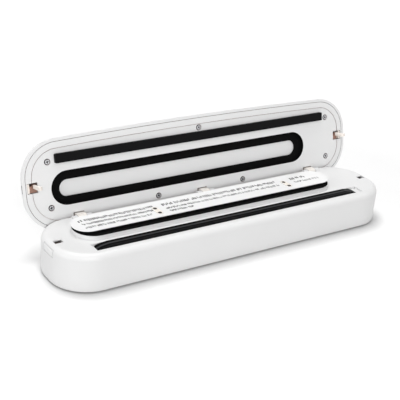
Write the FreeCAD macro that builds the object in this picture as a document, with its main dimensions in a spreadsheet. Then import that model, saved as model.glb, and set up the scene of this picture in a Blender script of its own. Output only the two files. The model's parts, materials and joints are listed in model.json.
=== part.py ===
import FreeCAD, Part
import math
import os
import re
import Sketcher
from FreeCAD import Placement, Rotation, Vector

# Countertop vacuum sealer with a hinged lid, modelled with the lid open.
# Every piece is drawn in the closed machine: x along the length, y from the front to the hinge,
# z up from the table, with x = y = 0 in the middle of the base. At the end the lid's pieces swing
# open about the hinge and the whole machine moves so that the frame's origin is the bottom centre
# of the open machine's box.

# Driving sizes: name, value in millimetres or degrees, and what it measures.
SIZES = (
    ("base_length", 360.0, "length of the base"),
    ("base_depth", 79.0, "depth of the base, front to hinge side"),
    ("corner_radius", 34.6, "plan radius of the base's four corners"),
    ("base_top", 35.7, "height of the base's top face above the table"),
    ("top_round", 6.0, "round on the base's upper edge"),
    ("bottom_round", 1.0, "round on the base's lower edge"),
    ("wall", 2.4, "wall of the base housing"),
    ("roof", 3.0, "thickness under the base's top face"),
    ("hollow_flat", 4.0, "least straight part in the ends of the base's hollow"),
    ("foot_height", 1.2, "rubber foot height"),
    ("foot_radius", 7.0, "rubber foot radius"),
    ("foot_end", 54.0, "foot centre from the end of the base"),
    ("foot_side", 15.5, "foot centre from the front or the back of the base"),
    ("bottom_lip", 6.0, "rim left round the bottom opening"),
    ("lip_height", 4.0, "height of that rim"),
    ("cover_thick", 2.4, "bottom cover thickness"),
    ("cover_gap", 0.3, "gap round the bottom cover"),
    ("notch_depth", 5.1, "step in the back wall that the lid's edge swings into"),
    ("notch_low", 23.2, "height of the step's floor"),
    ("boss_radius", 4.0, "screw boss in the base"),
    ("boss_end", 32.0, "end bosses, from the end of the base"),
    ("boss_front", 15.5, "front bosses, from the front of the base"),
    ("boss_rear", 17.5, "rear bosses, from the back of the base"),
    ("boss_left_x", -58.0, "middle boss left of the power board"),
    ("boss_right_x", 66.0, "middle boss right of the power board"),
    ("screw_radius", 1.4, "screw shank"),
    ("screw_depth", 8.5, "bottom cover's screws in their bosses"),
    ("lid_screw_depth", 5.0, "lid's screws in their bosses"),
    ("screw_gap", 0.1, "clearance round a screw"),
    ("head_radius", 2.5, "screw head radius"),
    ("head_height", 1.2, "screw head height"),
    ("head_gap", 0.5, "gap round a screw head in its recess"),
    ("chamber_x", -14.2, "middle of the vacuum platform along x"),
    ("chamber_y", 4.1, "middle of the vacuum platform along y"),
    ("platform_end", 40.2, "half of what the platform is shorter than the base"),
    ("platform_depth", 38.0, "raised platform, along y"),
    ("platform_height", 4.0, "raised platform above the base's top face"),
    ("seal_end", 1.8, "upright of the chamber seal in from the platform's ends"),
    ("seal_depth", 27.4, "upright of the chamber seal, along y"),
    ("seal_band", 3.4, "width of the chamber seal's upright"),
    ("seal_flange", 0.4, "thickness of the chamber seal's flange"),
    ("seal_height", 2.8, "height of the upright above the flange"),
    ("flange_inset", 0.3, "flange edge from the platform's edge"),
    ("plate_thick", 0.6, "chamber plate"),
    ("plate_ends", 2.9, "plate beyond the seal's upright at the ends"),
    ("plate_sides", 0.9, "plate beyond the seal's upright in front and behind"),
    ("port_left_x", -72.0, "left intake port"),
    ("port_right_x", 75.0, "right intake port"),
    ("port_y", 1.6, "both intake ports"),
    ("port_length", 15.0, "port head, along y"),
    ("port_width", 6.0, "port head, along x"),
    ("port_head", 2.2, "port head thickness"),
    ("port_radius", 2.8, "port stem"),
    ("port_hole", 2.0, "radius of the two holes in a port head"),
    ("port_gap", 0.15, "clearance round a port"),
    ("air_bore", 1.3, "radius of the air passages"),
    ("channel_end", 31.5, "heat bar channel from the ends of the base"),
    ("channel_width", 12.1, "heat bar channel, along y"),
    ("channel_inset", 14.85, "middle of the channel from the front of the base"),
    ("channel_sink", 2.0, "channel depth"),
    ("bar_x", -1.5, "middle of the heat bar, along x"),
    ("bar_end", 4.5, "half of what the heat bar's foot is shorter than the channel"),
    ("bar_ramp", 12.0, "sloping end of the heat bar"),
    ("bar_nose", 4.5, "steep tip of that end"),
    ("nose_drop", 1.1, "top of the steep tip below the bar's top"),
    ("bar_width", 8.4, "heat bar, along y"),
    ("bar_inset", 15.8, "heat bar and pressure bar from the front of the base"),
    ("bar_proud", 0.45, "heat bar above the base's top face"),
    ("wire_width", 3.0, "heating ribbon"),
    ("wire_thick", 0.2, "heating ribbon"),
    ("tape_thick", 0.25, "heat tape"),
    ("hinge_inset", 7.4, "hinge axis in from the back edge"),
    ("hinge_drop", 0.7, "hinge axis below the base's top face"),
    ("hinge_pitch", 132.0, "spacing of the three hinges"),
    ("open_angle", 103.3, "opening angle of the lid, degrees"),
    ("lug_width", 8.6, "hinge lug, along x"),
    ("lug_front", 3.6, "hinge lug in front of the axis"),
    ("lug_rear", 2.4, "hinge lug behind the axis"),
    ("lug_foot", 4.0, "lug's foot beyond the lug, each side"),
    ("lug_foot_thick", 1.6, "lug's foot inside the lid"),
    ("barrel_radius", 3.0, "round end of a hinge lug"),
    ("knuckle_radius", 2.8, "pin carriers on the base"),
    ("knuckle_width", 5.0, "pin carriers, along x"),
    ("hinge_play", 0.3, "side gap of a hinge lug"),
    ("swing_gap", 0.5, "gap under a hinge lug"),
    ("pin_radius", 1.2, "hinge pin"),
    ("pin_play", 0.05, "running clearance round pins and shafts"),
    ("hook_inset", 8.0, "latch hooks from the ends of the base"),
    ("hook_y", -2.0, "latch hooks and release buttons"),
    ("hook_thick", 2.2, "hook, along x"),
    ("hook_width", 3.0, "hook, along y"),
    ("hook_reach", 13.8, "hook below the lid's inner face"),
    ("hook_foot", 8.0, "hook's foot towards the middle"),
    ("hook_seat", 0.4, "hook's foot below the cover's roof"),
    ("barb_reach", 1.7, "hook's barb, towards the middle"),
    ("barb_height", 2.4, "hook's barb"),
    ("barb_lead", 1.4, "slope under the hook's barb"),
    ("slot_length", 7.6, "hook slot in the base, along x"),
    ("slot_width", 5.4, "hook slot in the base, along y"),
    ("slot_shift", -0.6, "hook slot's middle from the hook, for the swing"),
    ("slot_inward", 1.4, "hook slot's middle from the hook, towards the middle"),
    ("slot_edge", 0.8, "top face left thin behind a hook slot"),
    ("slot_relief", 3.0, "reach of that thin part, along y"),
    ("catch_gap", 0.3, "clearance between hook and catch"),
    ("catch_thick", 2.4, "catch"),
    ("catch_nose", 4.0, "catch nose, along x"),
    ("catch_arm", 2.2, "catch arms, along y"),
    ("button_width", 17.0, "release button, along y"),
    ("button_low", 26.7, "release button's lower edge"),
    ("button_height", 6.0, "release button"),
    ("button_gap", 0.4, "gap round the release button"),
    ("button_travel", 1.6, "release button's press"),
    ("button_flange", 1.2, "flange behind the release button"),
    ("flange_drop", 1.0, "flange below the release button"),
    ("seat_gap", 0.3, "closed lid above the seal's flange"),
    ("lid_end_over", 2.65, "lid beyond the base at each end"),
    ("lid_front_over", 4.35, "lid beyond the base in the middle of the front"),
    ("lid_back_over", 1.7, "lid beyond the base at the back"),
    ("lid_corner", 34.2, "plan radius of the lid's corners"),
    ("front_bow", 4900.0, "plan radius of the lid's bowed front"),
    ("lid_thick", 11.0, "lid from its inner face to its outer face"),
    ("lid_round", 10.4, "round on the lid's outer edge"),
    ("edge_flat", 0.6, "least straight edge of the lid before its round"),
    ("lid_wall", 2.8, "wall of the lid cover"),
    ("liner_thick", 2.0, "lid liner"),
    ("rim_proud", 0.4, "lid's rim above its inner face"),
    ("rim_width", 5.4, "liner's rim"),
    ("groove_width", 0.6, "groove inside the liner's rim"),
    ("groove_depth", 0.7, "groove inside the liner's rim, below the lid's inner face"),
    ("seam_gap", 0.4, "gap between the liner and the cover's edge"),
    ("pocket_wall", 1.6, "wall of the liner's seal pocket"),
    ("pocket_gap", 0.1, "clearance round the lid seal"),
    ("seal_clear", 0.5, "lid seal's lip from the chamber plate"),
    ("lip_thick", 0.5, "lid seal's lip"),
    ("face_gap", 0.3, "lid seal's face above the chamber plate"),
    ("lid_seal_thick", 2.2, "lid seal's band"),
    ("trough_end", 8.9, "vacuum trough in from the lid seal's ends"),
    ("trough_depth", 15.5, "vacuum trough inside the lid seal, along y"),
    ("trough_shift", 0.9, "trough's middle towards the hinge"),
    ("press_end", 29.0, "pressure bar from the ends of the base"),
    ("press_width", 8.2, "pressure bar, along y"),
    ("press_corner", 1.0, "pressure bar's plan corners"),
    ("press_proud", 3.2, "pressure bar above the lid's inner face"),
    ("press_sink", 1.2, "pressure bar's seat in the liner"),
    ("lid_slot_length", 10.0, "hook opening in the liner, along x"),
    ("lid_slot_width", 9.4, "hook opening in the liner, along y"),
    ("lid_slot_inset", 6.6, "hook openings from the ends of the base"),
    ("lid_slot_y", -0.5, "hook openings"),
    ("carrier_gap", 0.4, "hook's carrier from the edges of its opening"),
    ("carrier_cheek", 1.8, "cheek of the hook's carrier, along x"),
    ("carrier_thick", 1.4, "floor of the hook's carrier"),
    ("carrier_sink", 0.3, "carrier's cheek below the lid's inner face"),
    ("slit_length", 7.4, "slit in the end of the lid cover, along y"),
    ("slit_height", 1.4, "slit in the end of the lid cover"),
    ("slit_depth", 1.6, "slit in the end of the lid cover"),
    ("slit_rise", 0.9, "slit from the cover's edge"),
    ("lug_slot_side", 1.0, "lug opening in the liner beyond the lug, each side"),
    ("lug_slot_front", 0.9, "lug opening in front of the lug"),
    ("lug_slot_rear", 1.5, "lug opening behind the lug"),
    ("lid_boss_radius", 3.0, "screw boss in the lid cover"),
    ("lid_end", 22.4, "lid's end screws, from the end of the base"),
    ("lid_front", 18.0, "lid's front end screws, from the front of the base"),
    ("lid_rear", 19.5, "lid's rear end screws, from the back of the base"),
    ("lid_back_x", 48.8, "lid's back screws"),
    ("lid_back_y", 27.5, "lid's back screws"),
    ("lid_nose", 8.2, "lid's middle front screw, from the front of the base"),
    ("board_thick", 1.6, "circuit boards"),
    ("board_end", 38.0, "control board's middle, from the end of the base"),
    ("board_y", 2.0, "control board's middle"),
    ("board_length", 22.0, "control board, along x"),
    ("board_depth", 40.0, "control board, along y"),
    ("post_radius", 2.0, "posts under the boards"),
    ("post_inset", 3.0, "posts from a board's edges"),
    ("key_end", 40.0, "control buttons, from the end of the base"),
    ("key_pitch", 20.0, "spacing of the control buttons"),
    ("key_radius", 6.2, "control button"),
    ("key_proud", 0.6, "control button above the lid"),
    ("key_flange", 1.4, "control button's flange beyond its side"),
    ("key_flange_thick", 1.2, "control button's flange"),
    ("key_gap", 0.3, "gap round a control button"),
    ("key_travel", 0.8, "control button's press"),
    ("tact_size", 6.0, "switch under a control button"),
    ("tact_height", 1.4, "switch under a control button"),
    ("light_end", 30.5, "light pipes, from the end of the base"),
    ("light_radius", 1.5, "light pipe"),
    ("pump_side", 11.6, "pump head from the left bosses, along x"),
    ("pump_gap", 1.0, "pump head from the back wall"),
    ("pump_size", 26.0, "pump head, along x and y"),
    ("pump_height", 24.2, "pump head"),
    ("pump_hollow", 13.0, "pump head's hollow"),
    ("motor_radius", 12.0, "motor can"),
    ("motor_length", 30.0, "motor can"),
    ("shaft_radius", 1.15, "motor shaft"),
    ("shaft_stub", 2.0, "motor shaft beyond the can"),
    ("cam_radius", 4.0, "eccentric"),
    ("cam_thick", 5.0, "eccentric"),
    ("cam_throw", 1.2, "eccentric's offset"),
    ("mount_thick", 0.8, "rubber mat under the pump"),
    ("saddle_height", 8.0, "rubber saddle under the motor"),
    ("saddle_length", 20.0, "rubber saddle under the motor"),
    ("saddle_gap", 0.1, "saddle from the motor can"),
    ("hose_level", 18.0, "height of the hoses"),
    ("hose_radius", 3.2, "hose outside"),
    ("hose_bore", 2.1, "hose inside"),
    ("hose_bend", 9.0, "hose bend at its centre line"),
    ("hose_front", 23.5, "hose runs from the front of the base"),
    ("hose_end_gap", 0.3, "hose end from what it plugs on"),
    ("barb_radius", 2.0, "hose nipples"),
    ("barb_length", 6.0, "hose nipples"),
    ("valve_x", 102.0, "vent valve's middle"),
    ("valve_length", 22.0, "vent valve, along x"),
    ("valve_width", 16.0, "vent valve, along y"),
    ("valve_height", 21.6, "vent valve"),
    ("vacuum_switch_radius", 6.5, "vacuum switch"),
    ("vacuum_switch_height", 5.0, "vacuum switch"),
    ("power_x", 7.5, "power board's middle"),
    ("power_y", -1.0, "power board's middle"),
    ("power_length", 105.0, "power board, along x"),
    ("power_depth", 54.0, "power board, along y"),
    ("power_rise", 4.0, "power board above the bottom cover"),
    ("coil_x", -24.0, "transformer's middle"),
    ("coil_back", 20.0, "transformer's middle from the back of the power board"),
    ("coil_length", 32.0, "transformer, along x"),
    ("coil_depth", 28.0, "transformer, along y"),
    ("coil_height", 19.0, "transformer"),
    ("cap_x", 12.0, "first capacitor"),
    ("cap_pitch", 18.0, "spacing of the capacitors"),
    ("cap_front", 14.0, "capacitors from the front of the power board"),
    ("cap_radius", 7.0, "capacitor"),
    ("cap_height", 18.0, "capacitor"),
    ("relay_x", 22.0, "relay's middle"),
    ("relay_back", 14.0, "relay's middle from the back of the power board"),
    ("relay_length", 19.0, "relay, along x"),
    ("relay_depth", 15.5, "relay, along y"),
    ("relay_height", 15.0, "relay"),
    ("inlet_x", 105.0, "power inlet's middle"),
    ("inlet_z", 14.5, "power inlet's middle"),
    ("inlet_width", 22.0, "power inlet, along x"),
    ("inlet_height", 12.0, "power inlet"),
    ("inlet_depth", 20.0, "power inlet, along y"),
    ("inlet_step", 0.3, "inlet face inside the back wall"),
    ("inlet_gap", 0.2, "gap round the power inlet"),
    ("socket_width", 18.0, "inlet's socket, along x"),
    ("socket_height", 8.4, "inlet's socket"),
    ("socket_depth", 12.0, "inlet's socket"),
    ("contact_radius", 1.15, "inlet's contact pins"),
    ("contact_pitch", 8.6, "spacing of the contact pins"),
    ("contact_short", 3.0, "contact pins end this far inside the socket"),
    ("lid_switch_length", 12.0, "lid switch, along x"),
    ("lid_switch_width", 6.0, "lid switch, along y"),
    ("lid_switch_height", 10.0, "lid switch"),
    ("lid_switch_gap", 2.6, "lid switch from the catch at rest"),
    ("frame_setback", 11.96, "frame origin behind the middle of the base"),
)
NAMES = {name for name, value, note in SIZES}

# Levels and places that several pieces share, as formulas of the sizes.
COVER_TOP = "(foot_height + cover_thick)"
ROOF_UNDER = "(base_top - roof)"
PLATFORM_TOP = "(base_top + platform_height)"
PLATE_TOP = f"({PLATFORM_TOP} + seal_flange + seal_height + plate_thick)"
NOTCH_Y = "(base_depth / 2 - notch_depth)"
HOLLOW_BACK = f"({NOTCH_Y} - wall)"
BASE_END = "(base_length / 2)"
BASE_FRONT = "(-base_depth / 2)"
BASE_BACK = "(base_depth / 2)"
BAR_Y = f"({BASE_FRONT} + bar_inset)"
HOSE_Y = f"({BASE_FRONT} + hose_front)"
CHANNEL_Y = f"({BASE_FRONT} + channel_inset)"
HINGE_Y = "(base_depth / 2 - hinge_inset)"
HINGE_Z = "(base_top - hinge_drop)"
LID_FACE = f"({PLATFORM_TOP} + seal_flange + seat_gap)"
RIM_LOW = f"({LID_FACE} - rim_proud)"
LINER_BACK = f"({LID_FACE} + liner_thick)"
LID_OUTSIDE = f"({LID_FACE} + lid_thick)"
LID_ROOF = f"({LID_OUTSIDE} - lid_wall)"
LID_HALF = f"({BASE_END} + lid_end_over)"
LID_BACK = f"({BASE_BACK} + lid_back_over)"
BOW_Y = f"({BASE_FRONT} - lid_front_over + front_bow)"
OUTER_ROUND = "min(lid_round; lid_thick + rim_proud - edge_flat)"
PLATFORM_LENGTH = "(base_length - 2 * platform_end)"
SEAL_LENGTH = f"({PLATFORM_LENGTH} - 2 * seal_end)"
PLATE_LENGTH = f"({SEAL_LENGTH} + 2 * plate_ends)"
PLATE_DEPTH = "(seal_depth + 2 * plate_sides)"
SEAL_FACE = f"({PLATE_TOP} + face_gap)"
POCKET_FLOOR = f"({SEAL_FACE} + lid_seal_thick)"
RING_LENGTH = f"({PLATE_LENGTH} + 2 * seal_clear + 2 * lip_thick)"
RING_DEPTH = f"({PLATE_DEPTH} + 2 * seal_clear + 2 * lip_thick)"
TROUGH_LENGTH = f"({RING_LENGTH} - 2 * trough_end)"
CHANNEL_LENGTH = "(base_length - 2 * channel_end)"
BAR_LENGTH = f"({CHANNEL_LENGTH} - 2 * bar_end)"
PRESS_LENGTH = "(base_length - 2 * press_end)"
HOOK_X = f"({BASE_END} - hook_inset)"
LID_SLOT_X = f"({BASE_END} - lid_slot_inset)"
HOOK_TIP = f"({LID_FACE} - hook_reach)"
CATCH_LOW = f"({HOOK_TIP} + barb_height + catch_gap)"
CATCH_NOSE_X = f"({HOOK_X} - hook_thick / 2 - barb_reach - catch_gap)"
FLANGE_X = f"({HOOK_X} + hook_thick / 2 + catch_gap + button_travel + button_flange)"
SLOT_X = f"({HOOK_X} - slot_inward)"
SLOT_Y = "(hook_y + slot_shift)"
MOTOR_Z = f"({COVER_TOP} + mount_thick + pump_height / 2)"
BOSS_X = f"({BASE_END} - boss_end)"
PUMP_X = f"(-{BOSS_X} + boss_radius + pump_side + pump_size / 2)"
PUMP_Y = f"({HOLLOW_BACK} - pump_gap - pump_size / 2)"
KEY_LOW = f"({LID_ROOF} - key_gap - key_flange_thick)"
TACT_LOW = f"({KEY_LOW} - pin_play - key_travel - tact_height)"
BOARD_LOW = f"({TACT_LOW} - board_thick)"
BOARD_X = f"({BASE_END} - board_end)"
KEY_X = f"({BASE_END} - key_end)"
LIGHT_X = f"({BASE_END} - light_end)"
POWER_LOW = f"({COVER_TOP} + power_rise)"
POWER_FRONT = "(power_y - power_depth / 2)"
POWER_BACK = "(power_y + power_depth / 2)"
HINGES = ("-hinge_pitch", "0", "hinge_pitch")
BOSS_FRONT_Y = f"({BASE_FRONT} + boss_front)"
BOSS_REAR_Y = f"({BASE_BACK} - boss_rear)"
COVER_BOSSES = (
    (f"-{BOSS_X}", BOSS_FRONT_Y),
    (BOSS_X, BOSS_FRONT_Y),
    (f"-{BOSS_X}", BOSS_REAR_Y),
    (BOSS_X, BOSS_REAR_Y),
    ("boss_left_x", BOSS_FRONT_Y),
    ("boss_right_x", BOSS_FRONT_Y),
)
LID_END_X = f"({BASE_END} - lid_end)"
LID_FRONT_Y = f"({BASE_FRONT} + lid_front)"
LID_REAR_Y = f"({BASE_BACK} - lid_rear)"
LID_BOSSES = (
    (f"-{LID_END_X}", LID_FRONT_Y),
    (LID_END_X, LID_FRONT_Y),
    (f"-{LID_END_X}", LID_REAR_Y),
    (LID_END_X, LID_REAR_Y),
    ("-lid_back_x", "lid_back_y"),
    ("lid_back_x", "lid_back_y"),
    ("0", f"({BASE_FRONT} + lid_nose)"),
)
SIDES = (("left", -1), ("right", 1))
KEYS = (("vacuum_button", "board_y - key_pitch / 2"), ("seal_button", "board_y + key_pitch / 2"))

doc = FreeCAD.newDocument("vacuum_sealer")
dims = doc.addObject("Spreadsheet::Sheet", "dims")
for row, (name, value, note) in enumerate(SIZES, start=1):
    dims.set(f"A{row}", name)
    dims.set(f"B{row}", str(value))
    dims.setAlias(f"B{row}", name)
    dims.set(f"C{row}", note)
doc.recompute()

BASE, LID = [], []


def tied(text):
    """Turn size names in a formula into references to the sheet."""
    return re.sub(r"[a-z]\w*", lambda m: f"dims.{m.group()}" if m.group() in NAMES else m.group(), text)


def number(text):
    """Return a formula's value with the sheet's present sizes."""
    return float(dims.evalExpression(tied(text)))


def tie(thing, formulas):
    """Bind properties of an object to formulas of the sizes."""
    for path, text in formulas.items():
        thing.setExpression(path, tied(text))


def place(thing, x, y, z):
    """Bind an object's place to formulas of the sizes."""
    tie(thing, {"Placement.Base.x": x, "Placement.Base.y": y, "Placement.Base.z": z})


def keep(thing, label, group):
    """Name a finished piece and list it with the base's or the lid's pieces."""
    if thing.TypeId in ("Part::Box", "Part::Cylinder"):
        # The sheet holds a primitive's own place, so a group carries it to the frame.
        thing = group_of(thing)
    thing.Label = label
    group.append(thing)
    return thing


def block(x, y, low, length, depth, height):
    """Box centred on (x, y) that stands on the level low."""
    box = doc.addObject("Part::Box", "block")
    tie(box, {"Length": length, "Width": depth, "Height": height})
    place(box, f"{x} - ({length}) / 2", f"{y} - ({depth}) / 2", low)
    return box


def rod(x, y, z, radius, length, axis="Z"):
    """Cylinder that runs from (x, y, z) along an axis; its length may be along -Y with axis "-Y"."""
    turns = {
        "X": Rotation(Vector(0, 1, 0), 90),
        "-X": Rotation(Vector(0, 1, 0), -90),
        "-Y": Rotation(Vector(1, 0, 0), 90),
        "Z": Rotation(),
    }
    cylinder = doc.addObject("Part::Cylinder", "rod")
    cylinder.Placement = Placement(Vector(), turns[axis])
    tie(cylinder, {"Radius": radius, "Height": length})
    place(cylinder, x, y, z)
    return cylinder


def fuse(*shapes):
    """Join shapes that make one moulded piece."""
    joined = doc.addObject("Part::MultiFuse", "fuse")
    joined.Shapes = list(shapes)
    joined.Refine = True
    return joined


def group_of(*shapes):
    """Hold several separate solids in one piece, such as a set of screws."""
    held = doc.addObject("Part::Compound", "group")
    held.Links = list(shapes)
    return held


def cut(base, *tools):
    """Cut tools out of a shape."""
    result = doc.addObject("Part::Cut", "cut")
    result.Base = base
    result.Tool = tools[0] if len(tools) == 1 else group_fuse(tools)
    result.Refine = True
    return result


def group_fuse(tools):
    """Join cutting tools into one."""
    joined = doc.addObject("Part::MultiFuse", "tools")
    joined.Shapes = list(tools)
    return joined


def new_sketch(body, role, offset):
    """Start a sketch on one of a body's origin planes, moved along the plane's normal."""
    sketch = body.newObject("Sketcher::SketchObject", "sketch")
    plane = next(item for item in body.Origin.OriginFeatures if item.Role == role)
    sketch.AttachmentSupport = [(plane, "")]
    sketch.MapMode = "FlatFace"
    tie(sketch, {"AttachmentOffset.Base.z": offset})
    return sketch


def constrain(sketch, name, formula, kind, *where):
    """Add a named dimension to a sketch and bind it to a formula."""
    index = sketch.addConstraint(Sketcher.Constraint(kind, *where, number(formula)))
    sketch.renameConstraint(index, name)
    tie(sketch, {f"Constraints.{name}": formula})


def rounded_sketch(body, low, length, depth, radius, x="0", y="0"):
    """Rectangle with round corners, seen from above, centred on (x, y)."""
    sketch = new_sketch(body, "XY_Plane", low)
    half_l, half_d, r = number(length) / 2, number(depth) / 2, number(radius)
    mid_x, mid_y = number(x), number(y)
    corners = ((1, 1), (-1, 1), (-1, -1), (1, -1))
    quarter = FreeCAD.Units.Quantity("90 deg").getValueAs("rad").Value
    for index, (side_x, side_y) in enumerate(corners):
        centre = Vector(mid_x + side_x * (half_l - r), mid_y + side_y * (half_d - r))
        circle = Part.Circle(centre, Vector(0, 0, 1), r)
        sketch.addGeometry(Part.ArcOfCircle(circle, index * quarter, (index + 1) * quarter))
    for index in range(4):
        start = sketch.getPoint(index, 2)
        end = sketch.getPoint((index + 1) % 4, 1)
        sketch.addGeometry(Part.LineSegment(start, end))
    for index in range(4):
        sketch.addConstraint(Sketcher.Constraint("Tangent", index, 2, 4 + index, 1))
        sketch.addConstraint(Sketcher.Constraint("Tangent", 4 + index, 2, (index + 1) % 4, 1))
        kind = "Horizontal" if index % 2 == 0 else "Vertical"
        sketch.addConstraint(Sketcher.Constraint(kind, 4 + index))
    for index in range(1, 4):
        sketch.addConstraint(Sketcher.Constraint("Equal", 0, index))
    constrain(sketch, "corner", radius, "Radius", 0)
    constrain(sketch, "right", f"{x} + ({length}) / 2", "DistanceX", 7, 1)
    constrain(sketch, "left", f"{x} - ({length}) / 2", "DistanceX", 5, 1)
    constrain(sketch, "back", f"{y} + ({depth}) / 2", "DistanceY", 4, 1)
    constrain(sketch, "front", f"{y} - ({depth}) / 2", "DistanceY", 6, 1)
    return sketch


def stadium_sketch(body, low, length, depth, x="chamber_x", y="chamber_y", along="X"):
    """Slot shape with half-round ends, seen from above, centred on (x, y)."""
    sketch = new_sketch(body, "XY_Plane", low)
    r, reach = number(depth) / 2, (number(length) - number(depth)) / 2
    middle = Vector(number(x), number(y))
    step = Vector(reach, 0) if along == "X" else Vector(0, reach)
    quarter = FreeCAD.Units.Quantity("90 deg").getValueAs("rad").Value
    turn = -quarter if along == "X" else 0
    for sign in (1, -1):
        circle = Part.Circle(middle + step * sign, Vector(0, 0, 1), r)
        begin = turn if sign > 0 else turn + 2 * quarter
        sketch.addGeometry(Part.ArcOfCircle(circle, begin, begin + 2 * quarter))
    for index in range(2):
        sketch.addGeometry(Part.LineSegment(sketch.getPoint(index, 2), sketch.getPoint(1 - index, 1)))
    for index in range(2):
        sketch.addConstraint(Sketcher.Constraint("Tangent", index, 2, 2 + index, 1))
        sketch.addConstraint(Sketcher.Constraint("Tangent", 2 + index, 2, 1 - index, 1))
        kind = "Horizontal" if along == "X" else "Vertical"
        sketch.addConstraint(Sketcher.Constraint(kind, 2 + index))
    constrain(sketch, "round", f"({depth}) / 2", "Radius", 0)
    half = f"(({length}) - ({depth})) / 2"
    shift_x = half if along == "X" else "0"
    shift_y = "0" if along == "X" else half
    constrain(sketch, "end_x", f"{x} + {shift_x}", "DistanceX", 0, 3)
    constrain(sketch, "end_y", f"{y} + {shift_y}", "DistanceY", 0, 3)
    axis = "DistanceX" if along == "X" else "DistanceY"
    constrain(sketch, "start", f"{x if along == 'X' else y} - {half}", axis, 1, 3)
    return sketch


def lid_sketch(body, low, inset):
    """The lid's plan outline, inset all round: straight ends and back, round corners, bowed front."""
    sketch = new_sketch(body, "XY_Plane", low)
    half, back = number(f"{LID_HALF} - ({inset})"), number(f"{LID_BACK} - ({inset})")
    r, bow = number(f"lid_corner - ({inset})"), number(f"front_bow - ({inset})")
    reach, bow_y = half - r, number(BOW_Y)
    drop = math.sqrt((bow - r) ** 2 - reach ** 2)
    front, lean = bow_y - drop, math.atan2(reach, drop)
    quarter = math.pi / 2

    def arc(x, y, radius, begin, end):
        circle = Part.Circle(Vector(x, y), Vector(0, 0, 1), radius)
        sketch.addGeometry(Part.ArcOfCircle(circle, begin, end))

    def line(x0, y0, x1, y1):
        sketch.addGeometry(Part.LineSegment(Vector(x0, y0), Vector(x1, y1)))

    arc(reach, back - r, r, 0, quarter)
    line(reach, back, -reach, back)
    arc(-reach, back - r, r, quarter, 2 * quarter)
    line(-half, back - r, -half, front)
    arc(-reach, front, r, 2 * quarter, 3 * quarter - lean)
    arc(0, bow_y, bow, 3 * quarter - lean, 3 * quarter + lean)
    arc(reach, front, r, 3 * quarter + lean, 4 * quarter)
    line(half, front, half, back - r)
    for index in range(8):
        sketch.addConstraint(Sketcher.Constraint("Tangent", index, 2, (index + 1) % 8, 1))
    sketch.addConstraint(Sketcher.Constraint("Horizontal", 1))
    for index in (3, 7):
        sketch.addConstraint(Sketcher.Constraint("Vertical", index))
    for index in (2, 4, 6):
        sketch.addConstraint(Sketcher.Constraint("Equal", 0, index))
    constrain(sketch, "corner", f"lid_corner - ({inset})", "Radius", 0)
    constrain(sketch, "bow", f"front_bow - ({inset})", "Radius", 5)
    constrain(sketch, "left", f"-{LID_HALF} + ({inset})", "DistanceX", 3, 1)
    constrain(sketch, "right", f"{LID_HALF} - ({inset})", "DistanceX", 7, 1)
    constrain(sketch, "back", f"{LID_BACK} - ({inset})", "DistanceY", 1, 1)
    constrain(sketch, "middle", BOW_Y, "DistanceY", 5, 3)
    return sketch


def polygon_sketch(body, role, offset, corners):
    """Straight-sided profile; each corner is a pair of formulas in the plane's own axes."""
    sketch = new_sketch(body, role, offset)
    points = [Vector(number(u), number(v)) for u, v in corners]
    count = len(points)
    for index in range(count):
        sketch.addGeometry(Part.LineSegment(points[index], points[(index + 1) % count]))
    for index in range(count):
        sketch.addConstraint(Sketcher.Constraint("Coincident", index, 2, (index + 1) % count, 1))
    for index, (u, v) in enumerate(corners):
        constrain(sketch, f"across_{index}", u, "DistanceX", index, 1)
        constrain(sketch, f"up_{index}", v, "DistanceY", index, 1)
    return sketch


def new_body():
    """Start a body."""
    return doc.addObject("PartDesign::Body", "body")


def pad(body, sketch, length):
    """Raise a sketch by a length along its plane's normal."""
    feature = body.newObject("PartDesign::Pad", "pad")
    feature.Profile = sketch
    tie(feature, {"Length": length})
    doc.recompute()
    return feature


def pocket(body, sketch, length):
    """Cut a sketch upwards into a body and make sure that it removed something."""
    before = body.Shape.Volume
    feature = body.newObject("PartDesign::Pocket", "pocket")
    feature.Profile = sketch
    feature.Reversed = True
    tie(feature, {"Length": length})
    doc.recompute()
    if body.Shape.Volume >= before:
        raise RuntimeError(f"a pocket of {body.Label} cuts nothing")
    return feature


def round_edges(body, level, radius):
    """Fillet every edge of a body that lies on a level."""
    height = number(level)
    names = []
    for index, edge in enumerate(body.Shape.Edges, start=1):
        if all(abs(vertex.Z - height) < 0.01 for vertex in edge.Vertexes):
            names.append(f"Edge{index}")
    solid = body.Tip
    feature = body.newObject("PartDesign::Fillet", "fillet")
    feature.Base = (solid, names)
    tie(feature, {"Radius": radius})
    doc.recompute()
    return feature


def prism(low, height, sketch_maker, *sizes, **more):
    """One padded outline."""
    body = new_body()
    pad(body, sketch_maker(body, low, *sizes, **more), height)
    return body


def outline_prism(low, height, inset):
    """The base's plan outline, inset all round, as a prism."""
    sizes = [f"base_length - 2 * ({inset})", f"base_depth - 2 * ({inset})", f"corner_radius - ({inset})"]
    return prism(low, height, rounded_sketch, *sizes)


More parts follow.
